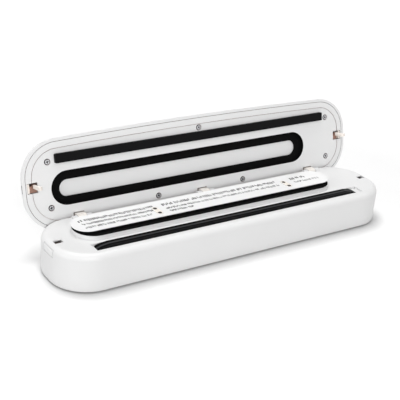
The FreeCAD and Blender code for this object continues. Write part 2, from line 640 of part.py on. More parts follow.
def tube(points):
    """Hose with straight runs and round bends through points; its sizes come from the sheet."""
    bend, outside, inside = number("hose_bend"), number("hose_radius"), number("hose_bore")
    places = [Vector(*(number(value) for value in point)) for point in points]
    edges = []
    start = places[0]
    for before, corner, after in zip(places, places[1:], places[2:]):
        into = (corner - before).normalize()
        away = (after - corner).normalize()
        enter, leave = corner - into * bend, corner + away * bend
        middle = corner + (away - into).normalize() * (bend * (2 ** 0.5 - 1))
        edges.append(Part.makeLine(start, enter))
        edges.append(Part.Arc(enter, middle, leave).toShape())
        start = leave
    edges.append(Part.makeLine(start, places[-1]))
    path = Part.Wire(edges)
    direction = (places[1] - places[0]).normalize()
    rings = [Part.Wire(Part.makeCircle(r, places[0], direction)) for r in (outside, inside)]
    solids = [path.makePipeShell([ring], True, False) for ring in rings]
    hose = doc.addObject("Part::Feature", "hose")
    hose.Shape = solids[0].cut(solids[1])
    return hose


def screw_set(places, seat, depth, group, label):
    """Screws whose heads sit at a level and whose shanks point up."""
    screws = []
    for x, y in places:
        head = rod(x, y, seat, "head_radius", "head_height")
        shank = rod(x, y, f"{seat} + head_height", "screw_radius", depth)
        screws.append(fuse(head, shank))
    return keep(group_of(*screws), label, group)


# Base housing: moulded shell with the vacuum platform, hinge knuckles and screw bosses.
def base_form():
    """Outer form of the base, which the release buttons share."""
    body = outline_prism("foot_height", "base_top - foot_height", "0")
    round_edges(body, "base_top", "top_round")
    round_edges(body, "foot_height", "bottom_round")
    return body


def base_hollow():
    """Space inside the base, in front of the step in the back wall."""
    body = new_body()
    low = "foot_height + lip_height"
    length = "base_length - 2 * wall"
    depth, mid_y = "base_depth - 2 * wall - notch_depth", "-notch_depth / 2"
    radius = f"min(corner_radius - wall; ({depth} - hollow_flat) / 2)"
    pad(body, rounded_sketch(body, low, length, depth, radius, y=mid_y), f"{ROOF_UNDER} - ({low})")
    round_edges(body, ROOF_UNDER, "top_round - wall")
    return body


def hinge_base(x):
    """Solid under the top face that carries one hinge's knuckles."""
    width = "lug_width + 2 * hinge_play + 2 * knuckle_width"
    depth = f"{NOTCH_Y} - {HINGE_Y} + knuckle_radius"
    heel = block(x, f"{HINGE_Y} - knuckle_radius + ({depth}) / 2", f"{HINGE_Z} - 2 * barrel_radius",
                 width, depth, "2 * barrel_radius")
    knuckle = rod(f"{x} - ({width}) / 2", HINGE_Y, HINGE_Z, "knuckle_radius", width, "X")
    return fuse(heel, knuckle)


def hinge_gap(x):
    """Room for one hinge lug in the base, open upwards and to the back."""
    width = "lug_width + 2 * hinge_play"
    front = "max(barrel_radius; lug_front) + swing_gap"
    depth = f"{front} + base_depth"
    floor = f"{HINGE_Z} - barrel_radius - swing_gap - lug_front"
    return block(x, f"{HINGE_Y} - ({front}) + ({depth}) / 2", floor, width, depth, "base_top")


def base_housing(form):
    """The base's upper shell."""
    opening = outline_prism("foot_height", "lip_height", "bottom_lip")
    shell = cut(form, opening, base_hollow())
    platform = prism("base_top", "platform_height", stadium_sketch, PLATFORM_LENGTH, "platform_depth")
    boss_height = f"base_top - roof / 2 - {COVER_TOP}"
    bosses = [rod(x, y, COVER_TOP, "boss_radius", boss_height) for x, y in COVER_BOSSES]
    solid = fuse(shell, platform, *bosses, *[hinge_base(x) for x in HINGES])
    behind = f"{NOTCH_Y} + base_depth / 2"
    tools = [block("0", behind, "notch_low", "2 * base_length", "base_depth", "base_top")]
    tools += [hinge_gap(x) for x in HINGES]
    pin_length = "lug_width + 2 * hinge_play + 2 * knuckle_width"
    tools += [rod(f"{x} - ({pin_length}) / 2", HINGE_Y, HINGE_Z, "pin_radius", pin_length, "X")
              for x in HINGES]
    for x, y in COVER_BOSSES:
        tools.append(rod(x, y, COVER_TOP, "screw_radius + screw_gap", "screw_depth + head_height"))
    floor = "base_top - channel_sink"
    tools.append(block("0", CHANNEL_Y, floor, CHANNEL_LENGTH, "channel_width", "base_top"))
    for x in ("port_left_x", "port_right_x"):
        tools.append(rod(x, "port_y", COVER_TOP, "port_radius + port_gap", "2 * base_top"))
    for side, sign in SIDES:
        tools.append(block(f"{sign} * {SLOT_X}", SLOT_Y, CATCH_LOW, "slot_length", "slot_width", "base_top"))
        tools.append(block(f"{sign} * {SLOT_X}", f"{SLOT_Y} + slot_width / 2 + slot_relief / 2", CATCH_LOW,
                           "slot_length", "slot_relief", f"base_top - slot_edge - {CATCH_LOW}"))
        reach = f"({BASE_END} - {FLANGE_X} + button_travel + button_gap)"
        tools.append(block(f"{sign} * ({BASE_END} - ({reach}) / 2)", "hook_y", "button_low - button_gap",
                           reach, "button_width + 2 * button_gap", "button_height + 2 * button_gap"))
    tools.append(block("inlet_x", "base_depth / 2", "inlet_z - inlet_height / 2 - inlet_gap",
                       "inlet_width + 2 * inlet_gap", "2 * inlet_depth", "inlet_height + 2 * inlet_gap"))
    keep(cut(solid, *tools), "base_housing", BASE)


def bottom_cover():
    """Plate that closes the base, with board posts and rails for the catches."""
    plate = outline_prism("foot_height", "cover_thick", "bottom_lip + cover_gap")
    added = [plate]
    for across in (1, -1):
        for along in (1, -1):
            x = f"power_x + {across} * (power_length / 2 - post_inset)"
            y = f"power_y + {along} * (power_depth / 2 - post_inset)"
            added.append(rod(x, y, COVER_TOP, "post_radius", "power_rise"))
    for side, sign in SIDES:
        for along in (1, -1):
            length = f"{FLANGE_X} - button_flange - button_travel - catch_gap - {CATCH_NOSE_X}"
            x = f"{sign} * ({CATCH_NOSE_X} + ({length}) / 2)"
            y = f"{SLOT_Y} + {along} * (slot_width / 2 + catch_arm)"
            added.append(block(x, y, COVER_TOP, length, "catch_arm", f"{CATCH_LOW} - {COVER_TOP}"))
    solid = fuse(*added)
    holes = []
    for x, y in COVER_BOSSES:
        holes.append(rod(x, y, "foot_height", "head_radius + head_gap", "head_height"))
        holes.append(rod(x, y, "foot_height", "screw_radius + screw_gap", "cover_thick"))
    keep(cut(solid, *holes), "bottom_cover", BASE)


def feet():
    """Four rubber feet."""
    discs = []
    for across in (1, -1):
        for along in (1, -1):
            x = f"{across} * ({BASE_END} - foot_end)"
            y = f"{along} * ({BASE_BACK} - foot_side)"
            discs.append(rod(x, y, "0", "foot_radius", "foot_height"))
    keep(group_of(*discs), "rubber_feet", BASE)


# Vacuum chamber on the platform.
def chamber_seal():
    """Rubber seal: a flat flange on the platform and an upright that carries the plate."""
    body = new_body()
    inset = "2 * flange_inset"
    flange = stadium_sketch(body, PLATFORM_TOP, f"{PLATFORM_LENGTH} - {inset}", f"platform_depth - {inset}")
    pad(body, flange, "seal_flange")
    upright = stadium_sketch(body, f"{PLATFORM_TOP} + seal_flange", SEAL_LENGTH, "seal_depth")
    pad(body, upright, "seal_height")
    inside = stadium_sketch(body, PLATFORM_TOP, f"{SEAL_LENGTH} - 2 * seal_band",
                            "seal_depth - 2 * seal_band")
    pocket(body, inside, "seal_flange + seal_height")
    keep(body, "chamber_seal", BASE)


def chamber_plate():
    """White plate over the chamber, with openings for the two port heads."""
    plate = prism(f"{PLATE_TOP} - plate_thick", "plate_thick", stadium_sketch, PLATE_LENGTH, PLATE_DEPTH)
    openings = []
    for x in ("port_left_x", "port_right_x"):
        openings.append(prism(f"{PLATE_TOP} - plate_thick", "plate_thick", stadium_sketch,
                              "port_length + 2 * port_gap", "port_width + 2 * port_gap", x=x, y="port_y",
                              along="Y"))
    keep(cut(plate, *openings), "chamber_plate", BASE)


def intake_port(x, label):
    """Port flush with the plate: an oblong head with two air holes, and a stem with a hose nipple."""
    head = prism(f"{PLATE_TOP} - port_head", "port_head", stadium_sketch, "port_length", "port_width", x=x,
                 y="port_y", along="Y")
    foot = "hose_level - barb_radius - port_radius"
    stem = rod(x, "port_y", foot, "port_radius", f"{PLATE_TOP} - port_head - ({foot})")
    nipple = rod(x, "port_y", "hose_level", "barb_radius", "port_radius + barb_length", "-Y")
    solid = fuse(head, stem, nipple)
    spread = "(port_length - port_width) / 2"
    holes = [rod(x, f"port_y + {side} * {spread}", f"{PLATE_TOP} - port_head", "port_hole", "port_head")
             for side in (1, -1)]
    bore = rod(x, "port_y", "hose_level", "air_bore", f"{PLATFORM_TOP} + 2 * air_bore - hose_level")
    across = rod(f"{x} - port_radius", "port_y", f"{PLATFORM_TOP} + seal_flange + air_bore", "air_bore",
                 "2 * port_radius", "X")
    out = rod(x, "port_y", "hose_level", "air_bore", "port_radius + barb_length", "-Y")
    keep(cut(solid, *holes, bore, across, out), label, BASE)


# Heat seal along the front.
def ramp_corners(lift):
    """Side view of the heat bar, raised by a thickness: along the foot, then back over the top."""
    top = f"base_top + bar_proud + {lift}"
    foot = "base_top - channel_sink"
    reach = f"({BAR_LENGTH} / 2 + {lift})"
    right = [
        (f"bar_x + {reach}", foot),
        (f"bar_x + {reach} - bar_nose", f"{top} - nose_drop"),
        (f"bar_x + {reach} - bar_ramp", top),
    ]
    left = [
        (f"bar_x - {reach} + bar_ramp", top),
        (f"bar_x - {reach} + bar_nose", f"{top} - nose_drop"),
        (f"bar_x - {reach}", foot),
    ]
    return right + left


def heat_bar():
    """Insulating bar with sloping ends in the channel."""
    body = new_body()
    profile = polygon_sketch(body, "XZ_Plane", f"-({BAR_Y} + bar_width / 2)", ramp_corners("0"))
    pad(body, profile, "bar_width")
    keep(body, "heat_bar", BASE)


def heating_wire():
    """Flat resistance ribbon on the heat bar."""
    length = f"{BAR_LENGTH} - 2 * bar_ramp"
    wire = block("bar_x", BAR_Y, "base_top + bar_proud", length, "wire_width", "wire_thick")
    keep(wire, "heating_wire", BASE)


def heat_tape():
    """Black non-stick tape over bar and wire, down the bar's front and along the channel's floor."""
    body = new_body()
    under, over = ramp_corners("wire_thick"), ramp_corners("(wire_thick + tape_thick)")
    band = over + under[::-1]
    pad(body, polygon_sketch(body, "XZ_Plane", f"-({BAR_Y} + bar_width / 2)", band), "bar_width")
    front = f"({BAR_Y} - bar_width / 2)"
    pad(body, polygon_sketch(body, "XZ_Plane", f"-{front}", over), "tape_thick")
    floor = "base_top - channel_sink"
    edge = f"({CHANNEL_Y} - channel_width / 2)"
    strip = [
        (front, floor),
        (front, f"{floor} + tape_thick"),
        (edge, f"{floor} + tape_thick"),
        (edge, floor),
    ]
    pad(body, polygon_sketch(body, "YZ_Plane", f"bar_x - {BAR_LENGTH} / 2", strip), BAR_LENGTH)
    keep(body, "heat_tape", BASE)


# Hinges.
def hinge_pins():
    """One steel pin in each hinge."""
    length = "lug_width + 2 * hinge_play + 2 * knuckle_width"
    pins = [rod(f"{x} - ({length}) / 2", HINGE_Y, HINGE_Z, "pin_radius", length, "X") for x in HINGES]
    keep(group_of(*pins), "hinge_pins", BASE)


def hinge_lugs():
    """Cream lugs that carry the lid on the pins."""
    lugs = []
    for x in HINGES:
        depth = "lug_front + lug_rear"
        mid_y = f"{HINGE_Y} - lug_front + ({depth}) / 2"
        arm = block(x, mid_y, HINGE_Z, "lug_width", depth, f"{LINER_BACK} + lug_foot_thick - {HINGE_Z}")
        barrel = rod(f"{x} - lug_width / 2", HINGE_Y, HINGE_Z, "barrel_radius", "lug_width", "X")
        foot = block(x, mid_y, LINER_BACK, "lug_width + 2 * lug_foot", depth, "lug_foot_thick")
        bore = rod(f"{x} - lug_width / 2", HINGE_Y, HINGE_Z, "pin_radius + pin_play", "lug_width", "X")
        lugs.append(cut(fuse(arm, barrel, foot), bore))
    keep(group_of(*lugs), "hinge_lugs", LID)


# Latches in both ends.
def latch_hook(side, sign):
    """Cream hook that hangs from the cover's roof, with a barb and a carrier in the liner's opening."""
    outer = f"({HOOK_X} + hook_thick / 2)"
    inner = f"({HOOK_X} - hook_thick / 2)"
    top = f"({LID_ROOF} - hook_seat)"
    profile = [
        (outer, top),
        (outer, HOOK_TIP),
        (inner, HOOK_TIP),
        (f"({inner} - barb_reach)", f"{HOOK_TIP} + barb_lead"),
        (f"({inner} - barb_reach)", f"{HOOK_TIP} + barb_height"),
        (inner, f"{HOOK_TIP} + barb_height"),
        (inner, f"{top} - lug_foot_thick"),
        (f"({inner} - hook_foot)", f"{top} - lug_foot_thick"),
        (f"({inner} - hook_foot)", top),
    ]
    body = new_body()
    corners = [(f"{sign} * {u}", v) for u, v in profile]
    pad(body, polygon_sketch(body, "XZ_Plane", "-(hook_y + hook_width / 2)", corners), "hook_width")
    length = "(lid_slot_length - 2 * carrier_gap)"
    back = "(lid_slot_y + lid_slot_width / 2)"
    depth = f"({back} - carrier_gap - hook_y)"
    floor = block(f"{sign} * {LID_SLOT_X}", f"hook_y + {depth} / 2", LINER_BACK, length, depth,
                  "carrier_thick")
    cheek_x = f"({LID_SLOT_X} + {length} / 2 - carrier_cheek / 2)"
    cheek = block(f"{sign} * {cheek_x}", "lid_slot_y", f"{LID_FACE} + carrier_sink", "carrier_cheek",
                  "lid_slot_width - 2 * carrier_gap", "liner_thick - carrier_sink + carrier_thick")
    keep(fuse(body, floor, cheek), f"{side}_hook", LID)


def release_button(side, sign, form):
    """Button flush with the rounded end of the base, with a flange behind the wall."""
    depth = f"({BASE_END} - {FLANGE_X} + top_round)"
    window = block(f"{sign} * ({FLANGE_X} + ({depth}) / 2)", "hook_y", "button_low", depth, "button_width",
                   "button_height")
    face = doc.addObject("Part::Common", "common")
    face.Base = form
    face.Tool = window
    flange = block(f"{sign} * ({FLANGE_X} - button_flange / 2)", "hook_y", "button_low - flange_drop",
                   "button_flange", "button_width", "button_height")
    keep(fuse(face, flange), f"{side}_button", BASE)


def catch(side, sign):
    """Fork behind the release button; its nose ends just short of the hook's barb."""
    length = f"{FLANGE_X} - button_flange - {CATCH_NOSE_X} + catch_nose"
    width = "slot_width + 3 * catch_arm"
    plate = block(f"{sign} * ({CATCH_NOSE_X} - catch_nose + ({length}) / 2)", SLOT_Y, CATCH_LOW, length,
                  width, "catch_thick")
    window = block(f"{sign} * ({CATCH_NOSE_X} + base_length / 2)", SLOT_Y, CATCH_LOW, "base_length",
                   "slot_width + catch_arm", "catch_thick")
    keep(cut(plate, window), f"{side}_catch", BASE)


# Pump, hoses and valve.
def pump():
    """Diaphragm pump head, motor, its shaft with the eccentric, and the rubber mount."""
    hollow_x = f"{PUMP_X} - pump_hollow / 2"
    motor_x = f"{PUMP_X} + pump_size / 2"
    head = block(PUMP_X, PUMP_Y, f"{COVER_TOP} + mount_thick", "pump_size", "pump_size", "pump_height")
    nipple = rod(PUMP_X, f"{PUMP_Y} - pump_size / 2", "hose_level", "barb_radius", "barb_length", "-Y")
    inside = block(PUMP_X, PUMP_Y, f"{MOTOR_Z} - pump_hollow / 2", "pump_hollow", "pump_hollow",
                   "pump_hollow")
    shaft_hole = rod(PUMP_X, PUMP_Y, MOTOR_Z, "shaft_radius + pin_play", "pump_size", "X")
    inlet = rod(PUMP_X, PUMP_Y, "hose_level", "air_bore", "pump_size / 2 + barb_length", "-Y")
    keep(cut(fuse(head, nipple), inside, shaft_hole, inlet), "pump_head", BASE)
    can = rod(motor_x, PUMP_Y, MOTOR_Z, "motor_radius", "motor_length", "X")
    can_bore = rod(motor_x, PUMP_Y, MOTOR_Z, "shaft_radius + pin_play", "motor_length", "X")
    keep(cut(can, can_bore), "pump_motor", BASE)
    shaft_start = f"{hollow_x} + cam_thick / 2"
    shaft = rod(shaft_start, PUMP_Y, MOTOR_Z, "shaft_radius",
                f"{motor_x} + motor_length + shaft_stub - ({shaft_start})", "X")
    keep(shaft, "motor_shaft", BASE)
    cam = rod(shaft_start, PUMP_Y, f"{MOTOR_Z} + cam_throw", "cam_radius", "cam_thick", "X")
    cam_bore = rod(shaft_start, PUMP_Y, MOTOR_Z, "shaft_radius", "cam_thick", "X")
    keep(cut(cam, cam_bore), "eccentric", BASE)
    mat_length = "pump_size + motor_length"
    mat = block(f"{PUMP_X} - pump_size / 2 + ({mat_length}) / 2", PUMP_Y, COVER_TOP, mat_length, "pump_size",
                "mount_thick")
    saddle = block(f"{motor_x} + motor_length / 2", PUMP_Y, f"{COVER_TOP} + mount_thick", "saddle_length",
                   "2 * motor_radius", "saddle_height")
    bed = rod(motor_x, PUMP_Y, MOTOR_Z, "motor_radius + saddle_gap", "motor_length", "X")
    keep(cut(fuse(mat, saddle), bed), "pump_mount", BASE)


def hoses():
    """Suction hose from the left port to the pump and vent hose from the right port to the valve."""
    port_end = "port_y - port_radius - hose_end_gap"
    suction = [
        ("port_left_x", port_end, "hose_level"),
        ("port_left_x", HOSE_Y, "hose_level"),
        (PUMP_X, HOSE_Y, "hose_level"),
        (PUMP_X, f"{PUMP_Y} - pump_size / 2 - hose_end_gap", "hose_level"),
    ]
    vent = [
        ("port_right_x", port_end, "hose_level"),
        ("port_right_x", HOSE_Y, "hose_level"),
        ("valve_x - valve_length / 2 - hose_end_gap", HOSE_Y, "hose_level"),
    ]
    keep(tube(suction), "suction_hose", BASE)
    keep(tube(vent), "vent_hose", BASE)


def valve():
    """Vent valve on the bottom cover with the vacuum switch on top of it."""
    frame = block("valve_x", HOSE_Y, COVER_TOP, "valve_length", "valve_width", "valve_height")
    face = "valve_x - valve_length / 2"
    nipple = rod(face, HOSE_Y, "hose_level", "barb_radius", "barb_length", "-X")
    bore = rod("valve_x", HOSE_Y, "hose_level", "air_bore", "valve_length / 2 + barb_length", "-X")
    keep(cut(fuse(frame, nipple), bore), "vent_valve", BASE)
    valve_top = f"{COVER_TOP} + valve_height"
    switch = rod("valve_x", HOSE_Y, valve_top, "vacuum_switch_radius", "vacuum_switch_height")
    keep(switch, "vacuum_switch", BASE)


# Electrics.
def electrics():
    """Power board with its parts, the power inlet in the back wall and the lid switch."""
    board = block("power_x", "power_y", POWER_LOW, "power_length", "power_depth", "board_thick")
    keep(board, "power_board", BASE)
    on_board = f"{POWER_LOW} + board_thick"
    coil_y = f"{POWER_BACK} - coil_back"
    keep(block("coil_x", coil_y, on_board, "coil_length", "coil_depth", "coil_height"), "transformer", BASE)
    cap_y = f"{POWER_FRONT} + cap_front"
    cans = [rod(x, cap_y, on_board, "cap_radius", "cap_height") for x in ("cap_x", "cap_x + cap_pitch")]
    keep(group_of(*cans), "capacitors", BASE)
    relay_y = f"{POWER_BACK} - relay_back"
    keep(block("relay_x", relay_y, on_board, "relay_length", "relay_depth", "relay_height"), "relay", BASE)
    face = "base_depth / 2 - inlet_step"
    shell = block("inlet_x", f"{face} - inlet_depth / 2", "inlet_z - inlet_height / 2", "inlet_width",
                  "inlet_depth", "inlet_height")
    socket = block("inlet_x", f"{face} - socket_depth / 2", "inlet_z - socket_height / 2", "socket_width",
                   "socket_depth", "socket_height")
    keep(cut(shell, socket), "power_inlet", BASE)
    contacts = []
    for side in (1, -1):
        x = f"inlet_x + {side} * contact_pitch / 2"
        contacts.append(rod(x, f"{face} - contact_short", "inlet_z", "contact_radius",
                            "socket_depth - contact_short", "-Y"))
    keep(group_of(*contacts), "inlet_contacts", BASE)
    switch_x = f"{CATCH_NOSE_X} - catch_nose - lid_switch_gap - lid_switch_length / 2"
    keep(block(switch_x, "hook_y", f"{ROOF_UNDER} - lid_switch_height", "lid_switch_length",
               "lid_switch_width", "lid_switch_height"), "lid_switch", BASE)


# Lid.
def lid_liner():
    """Inner panel inside the cover's edge, with its rim, the seal pocket, openings and board posts."""
    body = new_body()
    edge = "lid_wall + seam_gap"
    pad(body, lid_sketch(body, RIM_LOW, edge), "rim_proud + liner_thick")
    field = f"{edge} + rim_width"
    pocket(body, lid_sketch(body, RIM_LOW, field), "rim_proud + groove_depth")
    pad(body, lid_sketch(body, LID_FACE, f"{field} + groove_width"), "groove_depth")
    pocket_grow = "2 * pocket_gap + 2 * pocket_wall"
    box = prism(LINER_BACK, f"{POCKET_FLOOR} + liner_thick - {LINER_BACK}", stadium_sketch,
                f"{RING_LENGTH} + {pocket_grow}", f"{RING_DEPTH} + {pocket_grow}")
    posts = []
    for across in (1, -1):
        for along in (1, -1):
            x = f"{BOARD_X} + {across} * (board_length / 2 - post_inset)"
            y = f"board_y + {along} * (board_depth / 2 - post_inset)"
            posts.append(rod(x, y, LINER_BACK, "post_radius", f"{BOARD_LOW} - {LINER_BACK}"))
    solid = fuse(body, box, *posts)
    tools = [
        prism(LID_FACE, f"{POCKET_FLOOR} - {LID_FACE}", stadium_sketch, f"{RING_LENGTH} + 2 * pocket_gap",
              f"{RING_DEPTH} + 2 * pocket_gap"),
        prism(LID_FACE, "press_sink", rounded_sketch, f"{PRESS_LENGTH} + 2 * pocket_gap",
              "press_width + 2 * pocket_gap", "press_corner + pocket_gap", y=BAR_Y),
    ]
    through = f"{LID_FACE} - base_top / 2"
    for side, sign in SIDES:
        tools.append(block(f"{sign} * {LID_SLOT_X}", "lid_slot_y", through,
                           "lid_slot_length", "lid_slot_width", "base_top"))
    for x in HINGES:
        depth = "lug_front + lug_rear + lug_slot_front + lug_slot_rear"
        mid_y = f"{HINGE_Y} - lug_front - lug_slot_front + ({depth}) / 2"
        tools.append(block(x, mid_y, through, "lug_width + 2 * lug_slot_side", depth, "base_top"))
    for x, y in LID_BOSSES:
        tools.append(rod(x, y, LID_FACE, "head_radius + head_gap", "head_height"))
        tools.append(rod(x, y, LID_FACE, "screw_radius + screw_gap", "liner_thick"))
    keep(cut(solid, *tools), "lid_liner", LID)


def lid_form(inset):
    """Form of the lid with its rounded outer edge, inset all round: the cover's outside or its hollow."""
    body = new_body()
    top = f"{LID_OUTSIDE} - {inset}"
    pad(body, lid_sketch(body, RIM_LOW, inset), f"{top} - {RIM_LOW}")
    round_edges(body, top, f"{OUTER_ROUND} - {inset}")
    return body


def lid_cover():
    """Outer shell of the lid with screw bosses, end slits and holes for the buttons and light pipes."""
    shell = cut(lid_form("0"), lid_form("lid_wall"))
    bosses = [rod(x, y, LINER_BACK, "lid_boss_radius", f"{LID_ROOF} + lid_wall / 2 - {LINER_BACK}")
              for x, y in LID_BOSSES]
    solid = fuse(shell, *bosses)
    tools = [rod(x, y, LINER_BACK, "screw_radius + screw_gap", "lid_screw_depth") for x, y in LID_BOSSES]
    for label, y in KEYS:
        tools.append(rod(KEY_X, y, LID_ROOF, "key_radius + key_gap", "2 * lid_wall"))
        tools.append(rod(LIGHT_X, y, LID_ROOF, "light_radius + screw_gap", "2 * lid_wall"))
    for side, sign in SIDES:
        tools.append(block(f"{sign} * {LID_HALF}", "lid_slot_y", f"{RIM_LOW} + slit_rise", "2 * slit_depth",
                           "slit_length", "slit_height"))
    keep(cut(solid, *tools), "lid_cover", LID)


def lid_seal():
    """Black ring in the lid: a band that meets the chamber plate and a lip round the chamber seal."""
    body = new_body()
    pad(body, stadium_sketch(body, LID_FACE, RING_LENGTH, RING_DEPTH), f"{POCKET_FLOOR} - {LID_FACE}")
    room = stadium_sketch(body, LID_FACE, f"{PLATE_LENGTH} + 2 * seal_clear",
                          f"{PLATE_DEPTH} + 2 * seal_clear")
    pocket(body, room, f"{SEAL_FACE} - {LID_FACE}")
    trough = stadium_sketch(body, LID_FACE, TROUGH_LENGTH, "trough_depth", y="chamber_y + trough_shift")
    pocket(body, trough, f"{POCKET_FLOOR} - {LID_FACE}")
    keep(body, "lid_seal", LID)


def pressure_bar():
    """Black bar that presses the bag on the heat bar."""
    keep(prism(f"{LID_FACE} - press_proud", "press_proud + press_sink", rounded_sketch, PRESS_LENGTH,
               "press_width", "press_corner", y=BAR_Y), "pressure_bar", LID)


def controls():
    """Control board in the lid's right end, its two buttons and the light pipes."""
    board = block(BOARD_X, "board_y", BOARD_LOW, "board_length", "board_depth", "board_thick")
    tacts = [block(KEY_X, y, TACT_LOW, "tact_size", "tact_size", "tact_height") for label, y in KEYS]
    keep(fuse(board, *tacts), "control_board", LID)
    for label, y in KEYS:
        cap = rod(KEY_X, y, KEY_LOW, "key_radius", f"{LID_OUTSIDE} + key_proud - {KEY_LOW}")
        rim = rod(KEY_X, y, KEY_LOW, "key_radius + key_flange", "key_flange_thick")
        keep(fuse(cap, rim), label, LID)
    pipes = [rod(LIGHT_X, y, TACT_LOW, "light_radius", f"{LID_OUTSIDE} - {TACT_LOW}") for label, y in KEYS]
    keep(group_of(*pipes), "light_pipes", LID)


# Build every piece in the closed machine.
outer = base_form()
base_housing(outer)
bottom_cover()
feet()
screw_set(COVER_BOSSES, "foot_height", "screw_depth", BASE, "cover_screws")
chamber_seal()
chamber_plate()
intake_port("port_left_x", "intake_port_left")
intake_port("port_right_x", "intake_port_right")
heat_bar()
heating_wire()
heat_tape()
hinge_pins()
for side, sign in SIDES:
    release_button(side, sign, outer)
    catch(side, sign)
pump()
hoses()
valve()
electrics()
lid_liner()
lid_cover()
lid_seal()
pressure_bar()
screw_set(LID_BOSSES, LID_FACE, "lid_screw_depth", LID, "lid_screws")
hinge_lugs()
for side, sign in SIDES:
    latch_hook(side, sign)
controls()
doc.recompute()

# Swing the lid open and move the machine to its frame.
axis_point = Vector(0, number(HINGE_Y), number(HINGE_Z))
to_frame = Placement(Vector(0, -number("frame_setback"), 0), Rotation())
swing = Placement(Vector(), Rotation(Vector(1, 0, 0), -number("open_angle")), axis_point)
for piece in BASE:
    piece.Placement = to_frame.multiply(piece.Placement)
for piece in LID:
    piece.Placement = to_frame.multiply(swing).multiply(piece.Placement)
doc.recompute()

for thing in doc.Objects:
    if "Invalid" in thing.State or "Error" in thing.State:
        raise RuntimeError(f"{thing.Label} failed: {thing.State}")
for piece in BASE + LID:
    if piece.Shape.isNull() or not piece.Shape.isValid():
        raise RuntimeError(f"{piece.Label} has no valid shape")

os.makedirs("parts", exist_ok=True)
for piece in BASE + LID:
    piece.Shape.exportStep(f"parts/{piece.Label}.step")
print(len(BASE + LID), "pieces; hinge axis", axis_point + to_frame.Base)
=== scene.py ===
"""Looks of a countertop vacuum sealer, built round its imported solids.

The solids of the frame carry every real shape. This script gives each of them the finish of its real
material, adds the fine pieces that the solids leave out, such as screw heads with their cross recesses
and the print on the chamber plate, and sets up a plain pale studio with the photograph's camera.
All lengths in the classes are in millimetres, in the frame of the solids.
"""

import json
import logging
import math
import random
from dataclasses import dataclass, field, replace
from enum import Enum
from functools import cached_property
from typing import ClassVar

import bmesh
import bpy
from mathutils import Matrix, Vector

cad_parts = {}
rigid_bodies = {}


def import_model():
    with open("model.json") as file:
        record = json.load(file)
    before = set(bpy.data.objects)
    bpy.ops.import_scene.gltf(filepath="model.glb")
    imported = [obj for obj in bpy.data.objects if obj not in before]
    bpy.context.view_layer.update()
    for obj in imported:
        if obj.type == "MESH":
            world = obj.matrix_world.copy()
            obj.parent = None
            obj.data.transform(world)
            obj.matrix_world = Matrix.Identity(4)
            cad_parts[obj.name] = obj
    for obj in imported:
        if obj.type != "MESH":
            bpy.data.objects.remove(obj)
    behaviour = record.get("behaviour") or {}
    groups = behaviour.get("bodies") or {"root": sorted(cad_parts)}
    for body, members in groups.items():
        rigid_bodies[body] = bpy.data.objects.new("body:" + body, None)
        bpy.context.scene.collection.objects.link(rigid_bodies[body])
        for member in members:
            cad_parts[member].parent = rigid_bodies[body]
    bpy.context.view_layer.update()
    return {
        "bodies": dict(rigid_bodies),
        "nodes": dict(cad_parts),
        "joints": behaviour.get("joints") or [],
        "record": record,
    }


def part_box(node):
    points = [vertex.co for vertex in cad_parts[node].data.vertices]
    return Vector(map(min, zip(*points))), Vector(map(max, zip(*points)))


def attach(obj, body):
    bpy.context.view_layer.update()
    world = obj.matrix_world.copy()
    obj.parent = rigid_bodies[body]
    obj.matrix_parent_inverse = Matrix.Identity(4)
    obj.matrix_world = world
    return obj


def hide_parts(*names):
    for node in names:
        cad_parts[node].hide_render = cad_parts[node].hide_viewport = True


LOG = logging.getLogger("vacuum_sealer")
MM = 0.001
MERGE_MM = 0.0001
# The shader's default, which a metal keeps.
METAL_IOR = 1.5


class Body(Enum):
    """Bodies of the frame that carry added pieces."""

    BASE = "base"
    LID = "lid"


def linear(hex_colour: str) -> tuple[float, float, float, float]:
    """Turn an sRGB hex colour into linear light.

    Args:
        hex_colour: six hex digits with a leading #.

    Returns:
        Red, green, blue and an alpha of 1.
    """
    channels = []
    for start in (1, 3, 5):
        value = int(hex_colour[start : start + 2], 16) / 255
        channels.append(value / 12.92 if value <= 0.04045 else ((value + 0.055) / 1.055) ** 2.4)
    return (*channels, 1.0)


def add_node(
    tree: bpy.types.NodeTree, kind: str, inputs: dict | None = None, **settings: object
) -> bpy.types.Node:
    """Add a shader node with its settings, values and links.

    Args:
        tree: node tree that gets the node.
        kind: Blender's name of the node type.
        inputs: socket name or index to a value, or to an output socket that is linked.
        settings: attributes of the node.

    Returns:
        The new node.
    """
    node = tree.nodes.new(kind)
    for name, value in settings.items():
        setattr(node, name, value)
    for name, value in (inputs or {}).items():
        if isinstance(value, bpy.types.NodeSocket):
            tree.links.new(value, node.inputs[name])
        else:
            node.inputs[name].default_value = value
    return node


